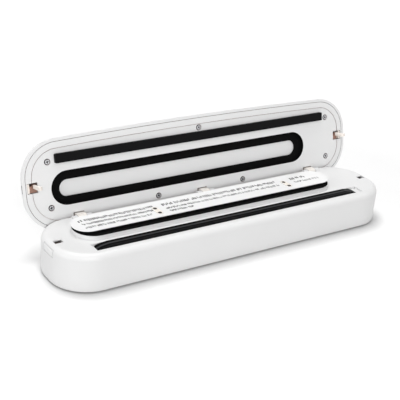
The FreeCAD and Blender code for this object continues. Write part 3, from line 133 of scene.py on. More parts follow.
@dataclass(frozen=True)
class Finish:
    """Moulded plastic: a fine spark-eroded grain and slow, faint changes of tone."""

    grain_detail: ClassVar[float] = 2.0
    grain_roughness: ClassVar[float] = 0.55
    tone_detail: ClassVar[float] = 3.0
    cavity_samples: ClassVar[int] = 8

    name: str
    colour: str
    shade: str
    roughness: float
    ior: float = 1.53
    metallic: float = 0.0
    patch_mm: float = 60.0
    grain_mm: float = 0.9
    relief_mm: float = 0.012
    spread: float = 0.05
    gloss: float = 0.5
    # Painted shade: the colour that hollows turns to where ambient occlusion is low, its reach and its
    # limits.
    cavity: str = ""
    cavity_mm: float = 8.0
    cavity_shut: float = 0.0
    cavity_open: float = 0.22

    def relief(self, tree: bpy.types.NodeTree, place: bpy.types.NodeSocket) -> bpy.types.NodeSocket:
        """Height of the surface's grain.

        Args:
            tree: the material's node tree.
            place: Object coordinates.

        Returns:
            Socket with the height, from 0 to 1.
        """
        inputs = {"Vector": place, "Scale": 1 / (self.grain_mm * MM)}
        inputs |= {"Detail": self.grain_detail, "Roughness": self.grain_roughness}
        return add_node(tree, "ShaderNodeTexNoise", inputs).outputs["Fac"]

    def tone(self, tree: bpy.types.NodeTree, place: bpy.types.NodeSocket) -> bpy.types.NodeSocket:
        """Slow pattern that moves the colour between its two tones.

        Args:
            tree: the material's node tree.
            place: Object coordinates.

        Returns:
            Socket with the share of the second tone, from 0 to 1.
        """
        inputs = {"Vector": place, "Scale": 1 / (self.patch_mm * MM), "Detail": self.tone_detail}
        return add_node(tree, "ShaderNodeTexNoise", inputs).outputs["Fac"]

    def hollows(self, tree: bpy.types.NodeTree, colour: bpy.types.NodeSocket) -> bpy.types.NodeSocket:
        """Turn the colour to the cavity's in slots and holes that little light reaches.

        Args:
            tree: the material's node tree.
            colour: the colour in the open.

        Returns:
            Socket with the colour.
        """
        reach = {"Distance": self.cavity_mm * MM}
        around = add_node(tree, "ShaderNodeAmbientOcclusion", reach, samples=self.cavity_samples)
        free = around.outputs["AO"]
        limits = {"Value": free, "From Min": self.cavity_shut, "From Max": self.cavity_open}
        limits |= {"To Min": 1.0, "To Max": 0.0}
        share = add_node(tree, "ShaderNodeMapRange", limits).outputs["Result"]
        tones = {0: share, 6: colour, 7: linear(self.cavity)}
        return add_node(tree, "ShaderNodeMix", tones, data_type="RGBA").outputs[2]

    def make(self) -> bpy.types.Material:
        """Build the material once and return it.

        Returns:
            The material, shared by every piece with this finish.
        """
        known = bpy.data.materials.get(self.name)
        if known:
            return known
        material = bpy.data.materials.new(self.name)
        material.use_nodes = True
        tree = material.node_tree
        tree.nodes.clear()
        place = add_node(tree, "ShaderNodeTexCoord").outputs["Object"]
        tone = self.tone(tree, place)
        tones = {0: tone, 6: linear(self.colour), 7: linear(self.shade)}
        colour = add_node(tree, "ShaderNodeMix", tones, data_type="RGBA").outputs[2]
        if self.cavity:
            colour = self.hollows(tree, colour)
        limits = {
            "Value": tone,
            "To Min": self.roughness - self.spread,
            "To Max": self.roughness + self.spread,
        }
        rough = add_node(tree, "ShaderNodeMapRange", limits)
        height = self.relief(tree, place)
        depth = {"Height": height, "Distance": self.relief_mm * MM, "Strength": 1.0}
        bump = add_node(tree, "ShaderNodeBump", depth)
        surface = {
            "Base Color": colour,
            "Roughness": rough.outputs["Result"],
            "Metallic": self.metallic,
            "IOR": self.ior,
            "Specular IOR Level": self.gloss,
            "Normal": bump.outputs["Normal"],
        }
        shader = add_node(tree, "ShaderNodeBsdfPrincipled", surface)
        add_node(tree, "ShaderNodeOutputMaterial", {"Surface": shader.outputs["BSDF"]})
        return material


class FoamRubber(Finish):
    """Closed-cell foam: tiny pits between cells take the shine off the black."""

    def relief(self, tree: bpy.types.NodeTree, place: bpy.types.NodeSocket) -> bpy.types.NodeSocket:
        """Height of the foam's cells; see Finish.relief."""
        inputs = {"Vector": place, "Scale": 1 / (self.grain_mm * MM)}
        return add_node(tree, "ShaderNodeTexVoronoi", inputs).outputs["Distance"]


class CoatedTape(Finish):
    """Coated glass-cloth tape: lengthwise folds, with thin grey lines of painted highlight on their crests.
    """

    # The wave texture turns this many radians in one unit of its scale.
    radians_per_unit: ClassVar[float] = 20.0
    wobble: ClassVar[float] = 0.4
    wobble_detail: ClassVar[float] = 1.0
    wobble_scale: ClassVar[float] = 0.4
    phase: ClassVar[float] = 2.54
    crest_power: ClassVar[float] = 3.0

    def relief(self, tree: bpy.types.NodeTree, place: bpy.types.NodeSocket) -> bpy.types.NodeSocket:
        """Height of the lengthwise folds.

        Args:
            tree: the material's node tree.
            place: Object coordinates.

        Returns:
            Socket with the height, from 0 to 1.
        """
        scale = math.tau / self.radians_per_unit / (self.grain_mm * MM)
        inputs = {"Vector": place, "Scale": scale, "Phase Offset": self.phase}
        inputs |= {"Distortion": self.wobble, "Detail": self.wobble_detail}
        inputs["Detail Scale"] = self.wobble_scale
        return add_node(tree, "ShaderNodeTexWave", inputs, bands_direction="Y").outputs["Fac"]

    def tone(self, tree: bpy.types.NodeTree, place: bpy.types.NodeSocket) -> bpy.types.NodeSocket:
        """Painted highlight that greys the crests of the folds; see Finish.tone."""
        crest = {0: self.relief(tree, place), 1: self.crest_power}
        return add_node(tree, "ShaderNodeMath", crest, operation="POWER").outputs[0]


class DrawnMetal(Finish):
    """Drawn or turned metal: fine lines along the length of the stock."""

    stretch: ClassVar[tuple[float, float, float]] = (0.04, 1.0, 1.0)

    def relief(self, tree: bpy.types.NodeTree, place: bpy.types.NodeSocket) -> bpy.types.NodeSocket:
        """Height of the drawing lines.

        Args:
            tree: the material's node tree.
            place: Object coordinates.

        Returns:
            Socket with the height, from 0 to 1.
        """
        drawn = add_node(tree, "ShaderNodeMapping", {"Vector": place, "Scale": self.stretch})
        inputs = {"Vector": drawn.outputs["Vector"], "Scale": 1 / (self.grain_mm * MM)}
        return add_node(tree, "ShaderNodeTexNoise", inputs).outputs["Fac"]


@dataclass(frozen=True)
class LidPlane:
    """The open lid's plane: turns places of the closed lid into places of the open one.

    Its face_z is the height of the closed lid's inner face.
    """

    hinge_y: float
    hinge_z: float
    open_deg: float
    face_z: float = 40.4

    @classmethod
    def read(cls, frame: dict) -> "LidPlane":
        """Read the hinge from the frame, which rests with the lid open.

        Args:
            frame: the loaded frame.

        Returns:
            The plane.
        """
        hinge = next(joint for joint in frame["joints"] if joint["child"] == Body.LID.value)
        hinge_y, hinge_z = (value / MM for value in hinge["pos_m"][1:])
        opened, shut = hinge["range_deg"]
        return cls(hinge_y, hinge_z, shut - opened)

    def matrix(self) -> Matrix:
        """Work out the swing of the lid.

        Returns:
            The swing from closed to open, in metres.
        """
        axis = Vector((0.0, self.hinge_y * MM, self.hinge_z * MM))
        turn = Matrix.Rotation(math.radians(-self.open_deg), 4, "X")
        return Matrix.Translation(axis) @ turn @ Matrix.Translation(-axis)


@dataclass(frozen=True)
class ShadedRoot(Finish):
    """Acetal hook: painted brown shade on its root in the lid's opening, the finger outside stays cream."""

    plane: LidPlane | None = None
    rim_x: float = 175.4

    def tone(self, tree: bpy.types.NodeTree, place: bpy.types.NodeSocket) -> bpy.types.NodeSocket:
        """Painted brown shade below the lid's inner face, but for a rim at the outer end.

        Args:
            tree: the material's node tree.
            place: Object coordinates.

        Returns:
            Socket with the share of the painted brown shade, from 0 to 1.
        """
        swing = self.plane.matrix()
        normal = swing.to_3x3() @ Vector((0.0, 0.0, -1.0))
        level = normal.dot(swing @ Vector((0.0, 0.0, self.plane.face_z * MM)))
        along = {0: place, 1: tuple(normal)}
        height = add_node(tree, "ShaderNodeVectorMath", along, operation="DOT_PRODUCT").outputs["Value"]
        limits = {"Value": height, "From Min": level, "From Max": level + self.patch_mm * MM}
        limits |= {"To Min": 1.0, "To Max": 0.0}
        sunk = add_node(tree, "ShaderNodeMapRange", limits).outputs["Result"]
        across = add_node(tree, "ShaderNodeSeparateXYZ", {0: place}).outputs["X"]
        away = add_node(tree, "ShaderNodeMath", {0: across}, operation="ABSOLUTE").outputs[0]
        inner = {0: away, 1: self.rim_x * MM}
        inside = add_node(tree, "ShaderNodeMath", inner, operation="LESS_THAN").outputs[0]
        return add_node(tree, "ShaderNodeMath", {0: sunk, 1: inside}, operation="MULTIPLY").outputs[0]


class CircuitLaminate(Finish):
    """Solder mask over copper: paler tracks on a coarse grid show through the lacquer."""

    track_gap: ClassVar[float] = 0.03

    def tone(self, tree: bpy.types.NodeTree, place: bpy.types.NodeSocket) -> bpy.types.NodeSocket:
        """Tracks under the lacquer; see Finish.tone."""
        inputs = {"Vector": place, "Scale": 1 / (self.patch_mm * MM), "Mortar Size": self.track_gap}
        return add_node(tree, "ShaderNodeTexBrick", inputs).outputs["Fac"]


# Injection-moulded ABS, satin: the housing's broad soft highlights, with rose-brown painted shade in its
# hollows.
WHITE_ABS = Finish("white_satin_abs", "#EFEFEF", "#EAEAEA", roughness=0.36, cavity="#4A2A20")
# The same ABS on the lid's cover, with near-black painted shade in the slit in its end and its other
# hollows.
COVER_ABS = Finish(
    "white_satin_abs_cover",
    "#EFEFEF",
    "#EAEAEA",
    roughness=0.36,
    cavity="#120B09",
    cavity_mm=4.0,
    cavity_shut=0.4,
    cavity_open=0.65,
)
# The same ABS on the lid's liner, with brown painted shade at its slot edges and in narrow hollows.
LINER_ABS = Finish(
    "white_satin_abs_liner", "#EFEFEF", "#EAEAEA", roughness=0.36, cavity="#7A4030", cavity_open=0.42
)
# The same ABS on the base, painted a little darker than on the lid as shade, with near-black painted shade
# in its slots and wells.
HOUSING_ABS = Finish(
    "white_satin_abs_housing",
    "#E8E8E8",
    "#E4E4E4",
    roughness=0.36,
    cavity="#060505",
    cavity_shut=0.15,
    cavity_open=0.38,
)
# Polished acrylic-faced plate: brighter and glossier than the housing.
WHITE_PLATE = Finish(
    "white_gloss_plate", "#FAFAFA", "#F6F6F6", roughness=0.22, patch_mm=90.0, relief_mm=0.004
)
# Natural acetal: cream, slightly waxy, for sliding and bending parts, with brown painted shade in its
# hollows.
CREAM_ACETAL = Finish(
    "cream_acetal",
    "#F8F0E8",
    "#F0E4D8",
    roughness=0.42,
    ior=1.48,
    patch_mm=9.0,
    cavity="#5E3626",
    cavity_open=0.5,
)
# Hinge lugs: the same acetal, painted lighter, nearly white, as the light through the lid's opening, with
# brown painted shade at its edges.
LUG_ACETAL = Finish(
    "pale_lug_acetal",
    "#FCF9F5",
    "#F6F0E8",
    roughness=0.42,
    ior=1.48,
    patch_mm=9.0,
    cavity="#5E3626",
    cavity_open=0.5,
)
# Latch hooks: cream fingers, with painted brown shade on the root in the opening and dark painted shade in
# hollows. The lid gives it its plane.
HOOK_ACETAL = ShadedRoot(
    "root_shaded_acetal",
    "#F8F0E8",
    "#A88272",
    roughness=0.42,
    ior=1.48,
    patch_mm=1.2,
    cavity="#1A0E0A",
    cavity_open=0.45,
)
# The same acetal, bleached, with near-black painted shade in its bores.
PORT_ACETAL = Finish(
    "pale_acetal",
    "#FDF8F1",
    "#F8F0E6",
    roughness=0.35,
    ior=1.48,
    patch_mm=9.0,
    cavity="#070605",
    cavity_shut=0.3,
    cavity_open=0.62,
)
# Moulded silicone keys: pale grey and matt against the lid's satin white.
KEY_SILICONE = Finish(
    "grey_silicone_key", "#B9BCC1", "#AEB1B6", roughness=0.58, ior=1.43, patch_mm=7.0, grain_mm=0.6
)
# Closed-cell chloroprene foam: matt black seals.
SEAL_FOAM = FoamRubber(
    "black_seal_foam",
    "#070707",
    "#0D0D0D",
    roughness=0.8,
    patch_mm=25.0,
    grain_mm=0.5,
    relief_mm=0.05,
    gloss=0.06,
)
# Moulded silicone rubber: black with a soft edge highlight.
BAR_SILICONE = Finish(
    "black_silicone",
    "#0A0A0B",
    "#0F0F10",
    roughness=0.55,
    ior=1.43,
    patch_mm=30.0,
    grain_mm=0.7,
    gloss=0.1,
)
# Moulded nitrile rubber: dark grey and dull.
FOOT_RUBBER = Finish(
    "black_foot_rubber", "#17171A", "#1F1F22", roughness=0.68, ior=1.5, patch_mm=8.0, grain_mm=0.6
)
# Fluoropolymer-coated glass cloth: black, with grey painted highlights along its folds. The folds are drawn
# far coarser than the cloth's threads, so that they show in the render.
HEAT_TAPE = CoatedTape(
    "black_coated_glass_tape",
    "#020202",
    "#444446",
    roughness=0.42,
    ior=1.38,
    grain_mm=5.2,
    relief_mm=0.25,
    gloss=0.03,
)
# Sawn phenolic laminate: brown and dull.
BAR_LAMINATE = Finish(
    "brown_phenolic_laminate", "#6B4B33", "#5A3E2A", roughness=0.6, ior=1.55, patch_mm=12.0
)
# Zinc-plated steel, turned or drawn: bright, with fine lines.
STEEL = DrawnMetal(
    "zinc_plated_steel",
    "#DCDCDE",
    "#CFCFD2",
    roughness=0.34,
    ior=METAL_IOR,
    metallic=1.0,
    patch_mm=6.0,
    grain_mm=0.25,
    relief_mm=0.004,
)
# Nickel-plated brass, turned: warm and bright.
PIN_BRASS = DrawnMetal(
    "nickel_plated_brass",
    "#C9BFA8",
    "#B8AC92",
    roughness=0.25,
    ior=METAL_IOR,
    metallic=1.0,
    patch_mm=5.0,
    grain_mm=0.25,
    relief_mm=0.003,
)
# Stacked iron sheets: dark, with the lines of the sheets' edges.
CORE_IRON = DrawnMetal(
    "laminated_core_iron",
    "#4A4846",
    "#34322F",
    roughness=0.55,
    ior=METAL_IOR,
    metallic=1.0,
    patch_mm=5.0,
    grain_mm=0.5,
    relief_mm=0.05,
)
# Steel painted dark as shade: a screw's recess and the rim of its head.
RECESS_STEEL = DrawnMetal(
    "shaded_recess_steel",
    "#2B2B2D",
    "#1E1E20",
    roughness=0.6,
    ior=METAL_IOR,
    metallic=1.0,
    patch_mm=3.0,
    grain_mm=0.25,
    relief_mm=0.004,
)
# Shrunk polyester sleeve: black and smooth.
CAN_SLEEVE = Finish("black_shrink_sleeve", "#1D1D24", "#26262E", roughness=0.4, patch_mm=7.0)
# Glass-epoxy board under solder mask: green, with paler tracks.
BOARD = CircuitLaminate(
    "green_solder_mask", "#1E5A33", "#2C7444", roughness=0.35, ior=1.5, patch_mm=6.0
)
# Moulded polyester case: blue, with a soft shine.
RELAY_CASE = Finish("blue_relay_polyester", "#2C4A8C", "#274480", roughness=0.4, patch_mm=8.0)
# Moulded glass-filled nylon: black and slightly dull.
PUMP_NYLON = Finish("black_glass_filled_nylon", "#202123", "#2A2B2E", roughness=0.55, patch_mm=8.0)
# Moulded nylon: plain grey.
VALVE_NYLON = Finish("grey_nylon", "#6E7073", "#64666A", roughness=0.5, patch_mm=8.0)
# Extruded silicone hose: milky and soft.
HOSE_SILICONE = Finish(
    "milky_silicone_hose", "#D9D4C9", "#CFC9BC", roughness=0.45, ior=1.41, patch_mm=14.0
)
# Polished polycarbonate: pale and glossy, drawn opaque.
LIGHT_GUIDE = Finish(
    "clear_polycarbonate", "#DDE8E4", "#D2DED9", roughness=0.12, ior=1.58, patch_mm=4.0
)
# Black pad-printing ink: thin and matt.
PRINT_INK = Finish(
    "black_pad_print", "#0C0C0C", "#161616", roughness=0.6, ior=1.5, patch_mm=3.0, relief_mm=0.003
)


def finish_mesh(
    name: str, shape: bmesh.types.BMesh, finishes: tuple[Finish, ...], body: Body
) -> bpy.types.Object:
    """Turn a bmesh into a finished piece that rides on a body.

    Args:
        name: the piece's name.
        shape: its geometry, in metres, in place.
        finishes: its materials, in the order of the faces' material numbers.
        body: the body that carries it.

    Returns:
        The new object.
    """
    bmesh.ops.remove_doubles(shape, verts=shape.verts, dist=MERGE_MM * MM)
    bmesh.ops.recalc_face_normals(shape, faces=shape.faces)
    mesh = bpy.data.meshes.new(name)
    shape.to_mesh(mesh)
    shape.free()
    for finish in finishes:
        mesh.materials.append(finish.make())
    piece = bpy.data.objects.new(name, mesh)
    bpy.context.scene.collection.objects.link(piece)
    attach(piece, body.value)
    LOG.info("piece %s rides on %s", name, body.value)
    return piece


def merge(target: bmesh.types.BMesh, part: bmesh.types.BMesh, place: Matrix) -> None:
    """Copy one bmesh into another at a place, and free it.

    Args:
        target: bmesh that grows.
        part: bmesh that is copied.
        place: where the copy goes.
    """
    bmesh.ops.transform(part, matrix=place, verts=part.verts)
    carrier = bpy.data.meshes.new("carrier")
    part.to_mesh(carrier)
    part.free()
    target.from_mesh(carrier)
    bpy.data.meshes.remove(carrier)


@dataclass
class Assembly:
    """A group of solids and the finishes that they get."""

    frame: dict
    finishes: dict[str, Finish] = field(default_factory=dict)

    def dress(self) -> None:
        """Give every solid of the group its finish and report it."""
        for name, finish in self.finishes.items():
            node = self.frame["nodes"][name]
            material = finish.make()
            if not node.material_slots:
                node.data.materials.append(material)
            for place in node.material_slots:
                place.material = material
            LOG.info("solid %s is %s", name, finish.name)

    def build(self) -> None:
        """Add the group's own fine pieces; a group without any adds nothing."""


@dataclass
class CrossScrew:
    """Head and shank of a cross-recessed pan screw, pointing along its own +Z into the work."""

    head_radius: float = 2.5
    head_height: float = 1.2
    crown: float = 0.5
    shank_radius: float = 1.4
    shank_length: float = 8.5
    cross_length: float = 3.0
    cross_width: float = 0.8
    cross_depth: float = 0.9
    sides: int = 24
    level_cosine: float = 0.99
    skin_mm: float = 0.001

    def shape(self) -> bmesh.types.BMesh:
        """Build one screw with its head's outer face at z = 0.

        Returns:
            The screw in metres, with its recess cut in.
        """
        screw = bmesh.new()
        profile = [
            (0.0, 0.0),
            (self.head_radius - self.crown, 0.0),
            (self.head_radius, self.crown),
            (self.head_radius, self.head_height),
            (self.shank_radius, self.head_height),
            (self.shank_radius, self.head_height + self.shank_length),
            (0.0, self.head_height + self.shank_length),
        ]
        chain = [screw.verts.new((radius * MM, 0.0, height * MM)) for radius, height in profile]
        edges = [screw.edges.new(pair) for pair in zip(chain, chain[1:])]
        bmesh.ops.spin(
            screw,
            geom=chain + edges,
            axis=(0, 0, 1),
            cent=(0, 0, 0),
            angle=math.tau,
            steps=self.sides,
            use_merge=True,
        )
        bmesh.ops.remove_doubles(screw, verts=screw.verts, dist=MERGE_MM * MM)
        bmesh.ops.recalc_face_normals(screw, faces=screw.faces)
        return self.recessed(screw)

    def recessed(self, screw: bmesh.types.BMesh) -> bmesh.types.BMesh:
        """Cut the cross recess into a head.

        Args:
            screw: the plain screw; it is freed.

        Returns:
            A new bmesh with the recess.
        """
        cutter = bmesh.new()
        for turn in (0.0, math.pi / 2):
            bar = bmesh.new()
            bmesh.ops.create_cube(bar, size=1.0)
            size = (self.cross_length * MM, self.cross_width * MM, 2 * self.cross_depth * MM)
            merge(cutter, bar, Matrix.Rotation(turn, 4, "Z") @ Matrix.Diagonal((*size, 1.0)))
        objects = []
        for label, geometry in (("screw_blank", screw), ("cross_cutter", cutter)):
            mesh = bpy.data.meshes.new(label)
            geometry.to_mesh(mesh)
            geometry.free()
            objects.append(bpy.data.objects.new(label, mesh))
            bpy.context.scene.collection.objects.link(objects[-1])
        blank, tool = objects
        cut = blank.modifiers.new("recess", "BOOLEAN")
        cut.object = tool
        cut.operation = "DIFFERENCE"
        cut.use_self = True
        graph = bpy.context.evaluated_depsgraph_get()
        result = bmesh.new()
        result.from_mesh(blank.evaluated_get(graph).to_mesh())
        for item in objects:
            mesh = item.data
            bpy.data.objects.remove(item)
            bpy.data.meshes.remove(mesh)
        # Painted shade: the recess and the head's rim and sides take the second, dark steel.
        for face in result.faces:
            middle = face.calc_center_median()
            flat = abs(face.normal.z) > self.level_cosine and middle.z < self.skin_mm * MM
            face.material_index = int(not flat and middle.z < self.head_height * MM)
        return result


@dataclass
class ScrewSet:
    """Screws at several places with one direction, each stopped at another angle."""

    name: str
    node: str
    body: Body
    places: tuple[tuple[float, float], ...]
    seat: float
    swing: Matrix
    screw: CrossScrew = field(default_factory=CrossScrew)
    turn_step: float = 0.7

    def build(self) -> None:
        """Make the screws as one piece that replaces its plain solids."""
        whole = bmesh.new()
        for index, (x, y) in enumerate(self.places):
            turned = Matrix.Rotation(self.turn_step * index, 4, "Z")
            place = Matrix.Translation(Vector((x, y, self.seat)) * MM)
            merge(whole, self.screw.shape(), self.swing @ place @ turned)
        piece = finish_mesh(self.name, whole, (STEEL, RECESS_STEEL), self.body)
        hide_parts(self.node)


@dataclass
class Base(Assembly):
    """Housing, bottom cover, feet, release buttons and catches."""

    finishes: dict[str, Finish] = field(
        default_factory=lambda: {
            "base_housing": HOUSING_ABS,
            "bottom_cover": WHITE_ABS,
            "rubber_feet": FOOT_RUBBER,
            "left_button": WHITE_ABS,
            "right_button": WHITE_ABS,
            "left_catch": CREAM_ACETAL,
            "right_catch": CREAM_ACETAL,
            "hinge_pins": STEEL,
            "cover_screws": STEEL,
        }
    )
    screw_places: tuple[tuple[float, float], ...] = (
        (-148.0, -35.96),
        (148.0, -35.96),
        (-148.0, 10.04),
        (148.0, 10.04),
        (-58.0, -35.96),
        (66.0, -35.96),
    )

    def build(self) -> None:
        """Add the bottom cover's screws, with their heads where the plain solids have theirs."""
        places, seat = self.screw_places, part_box("cover_screws")[0].z / MM
        ScrewSet("bottom_screws", "cover_screws", Body.BASE, places, seat, Matrix()).build()


@dataclass
class TickRow:
    """One row of printed ticks: its ends along x, its place along y, its height and its ticks' spacing."""

    start: float
    end: float
    y: float
    height: float
    pitch: float


@dataclass
class Chamber(Assembly):
    """Chamber seal, plate with its print, and intake ports."""

    finishes: dict[str, Finish] = field(
        default_factory=lambda: {
            "chamber_seal": SEAL_FOAM,
            "chamber_plate": WHITE_PLATE,
            "intake_port_left": PORT_ACETAL,
            "intake_port_right": PORT_ACETAL,
        }
    )
    ink_height: float = 0.04
    tick_heights: tuple[float, float] = (0.55, 1.0)
    tick_widths: tuple[float, float] = (0.4, 0.75)
    tick_steps: tuple[float, ...] = (1.0,) * 7 + (1.4, 1.9)
    seed: int = 11
    rows: tuple[TickRow, ...] = (
        TickRow(-146.0, -72.0, -1.8, 4.4, 1.9),
        TickRow(-145.0, -74.0, -8.4, 3.4, 1.5),
        TickRow(-145.0, -80.0, -15.0, 3.4, 1.5),
        TickRow(-62.0, 66.0, -2.0, 4.4, 1.9),
        TickRow(-62.0, 66.0, -9.8, 3.4, 1.5),
        TickRow(-61.0, -36.0, -15.6, 3.4, 1.5),
        TickRow(86.0, 106.0, -2.4, 4.4, 1.9),
        TickRow(86.0, 117.0, -10.4, 3.4, 1.5),
    )

    @cached_property
    def plate_top(self) -> float:
        """Height of the plate's upper face."""
        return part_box("chamber_plate")[1].z / MM

    def build(self) -> None:
        """Print rows of plain upright ticks on the plate."""
        draw = random.Random(self.seed)
        layer = bmesh.new()
        for row in self.rows:
            x = row.start
            while x < row.end:
                self.tick(layer, row, x, draw)
                x += row.pitch * draw.choice(self.tick_steps)
        finish_mesh("plate_print", layer, (PRINT_INK,), Body.BASE)

    def tick(self, layer: bmesh.types.BMesh, row: TickRow, x: float, draw: random.Random) -> None:
        """Add one upright tick of random height and width.

        Args:
            layer: print that gets the tick.
            row: row that the tick stands in.
            x: the tick's middle.
            draw: source of its size.
        """
        height = row.height * draw.uniform(*self.tick_heights)
        width = row.pitch * draw.uniform(*self.tick_widths)
        y = row.y + (height - row.height) / 2 * draw.choice((-1, 1))
        place = Vector((x, y, self.plate_top + self.ink_height / 2)) * MM
        scale = Matrix.Diagonal((width * MM, height * MM, self.ink_height * MM, 1.0))
        bmesh.ops.create_cube(layer, size=1.0, matrix=Matrix.Translation(place) @ scale)


@dataclass
class HeatSeal(Assembly):
    """Heat bar, heating ribbon and tape along the front."""

    finishes: dict[str, Finish] = field(
        default_factory=lambda: {
            "heat_bar": BAR_LAMINATE,
            "heating_wire": STEEL,
            "heat_tape": HEAT_TAPE,
        }
    )


@dataclass
class Lid(Assembly):
    """Cover, liner, seal ring, pressure bar, hooks, hinge lugs and screws."""

    finishes: dict[str, Finish] = field(
        default_factory=lambda: {
            "lid_cover": COVER_ABS,
            "lid_liner": LINER_ABS,
            "lid_seal": SEAL_FOAM,
            "pressure_bar": BAR_SILICONE,
            "left_hook": HOOK_ACETAL,
            "right_hook": HOOK_ACETAL,
            "hinge_lugs": LUG_ACETAL,
            "lid_screws": STEEL,
        }
    )
    plane: LidPlane = field(init=False)
    screw: CrossScrew = field(default_factory=lambda: CrossScrew(shank_length=5.0))
    screw_places: tuple[tuple[float, float], ...] = (
        (-157.6, -33.46),
        (157.6, -33.46),
        (-157.6, 8.04),
        (157.6, 8.04),
        (-48.8, 15.54),
        (48.8, 15.54),
        (0.0, -43.26),
    )

    def __post_init__(self) -> None:
        """Read the lid's plane from the frame, for the screws and the hooks' finish."""
        self.plane = LidPlane.read(self.frame)
        hook = replace(HOOK_ACETAL, plane=self.plane)
        self.finishes |= {"left_hook": hook, "right_hook": hook}

    def build(self) -> None:
        """Add the liner's screws."""
        places, seat, swing = self.screw_places, self.plane.face_z, self.plane.matrix()
        ScrewSet("liner_screws", "lid_screws", Body.LID, places, seat, swing, self.screw).build()


@dataclass
class Controls(Assembly):
    """Control board, its two buttons and the light pipes at the lid's right end."""

    finishes: dict[str, Finish] = field(
        default_factory=lambda: {
            "control_board": BOARD,
            "vacuum_button": KEY_SILICONE,
            "seal_button": KEY_SILICONE,
            "light_pipes": LIGHT_GUIDE,
        }
    )


@dataclass
class Pump(Assembly):
    """Pump, motor, hoses, vent valve and vacuum switch inside the base."""

    finishes: dict[str, Finish] = field(
        default_factory=lambda: {
            "pump_head": PUMP_NYLON,
            "pump_motor": STEEL,
            "motor_shaft": STEEL,
            "eccentric": PUMP_NYLON,
            "pump_mount": FOOT_RUBBER,
            "suction_hose": HOSE_SILICONE,
            "vent_hose": HOSE_SILICONE,
            "vent_valve": VALVE_NYLON,
            "vacuum_switch": PUMP_NYLON,
        }
    )


@dataclass
class Electrics(Assembly):
    """Power board with its parts, the power inlet and the lid switch."""

    finishes: dict[str, Finish] = field(
        default_factory=lambda: {
            "power_board": BOARD,
            "transformer": CORE_IRON,
            "capacitors": CAN_SLEEVE,
            "relay": RELAY_CASE,
            "power_inlet": PUMP_NYLON,
            "inlet_contacts": PIN_BRASS,
            "lid_switch": PUMP_NYLON,
        }
    )


@dataclass
class Lamp:
    """A soft square lamp that looks at a point."""

    name: str
    place: tuple[float, float, float]
    size: float
    power: float
    target: tuple[float, float, float] = (0.0, 0.0, 40.0)

    def build(self) -> None:
        """Add the lamp."""
        data = bpy.data.lights.new(self.name, "AREA")
        data.size = self.size * MM
        data.energy = self.power
        lamp = bpy.data.objects.new(self.name, data)
        lamp.location = Vector(self.place) * MM
        aim = (Vector(self.target) - Vector(self.place)).to_track_quat("-Z", "Y")
        lamp.rotation_euler = aim.to_euler()
        bpy.context.scene.collection.objects.link(lamp)


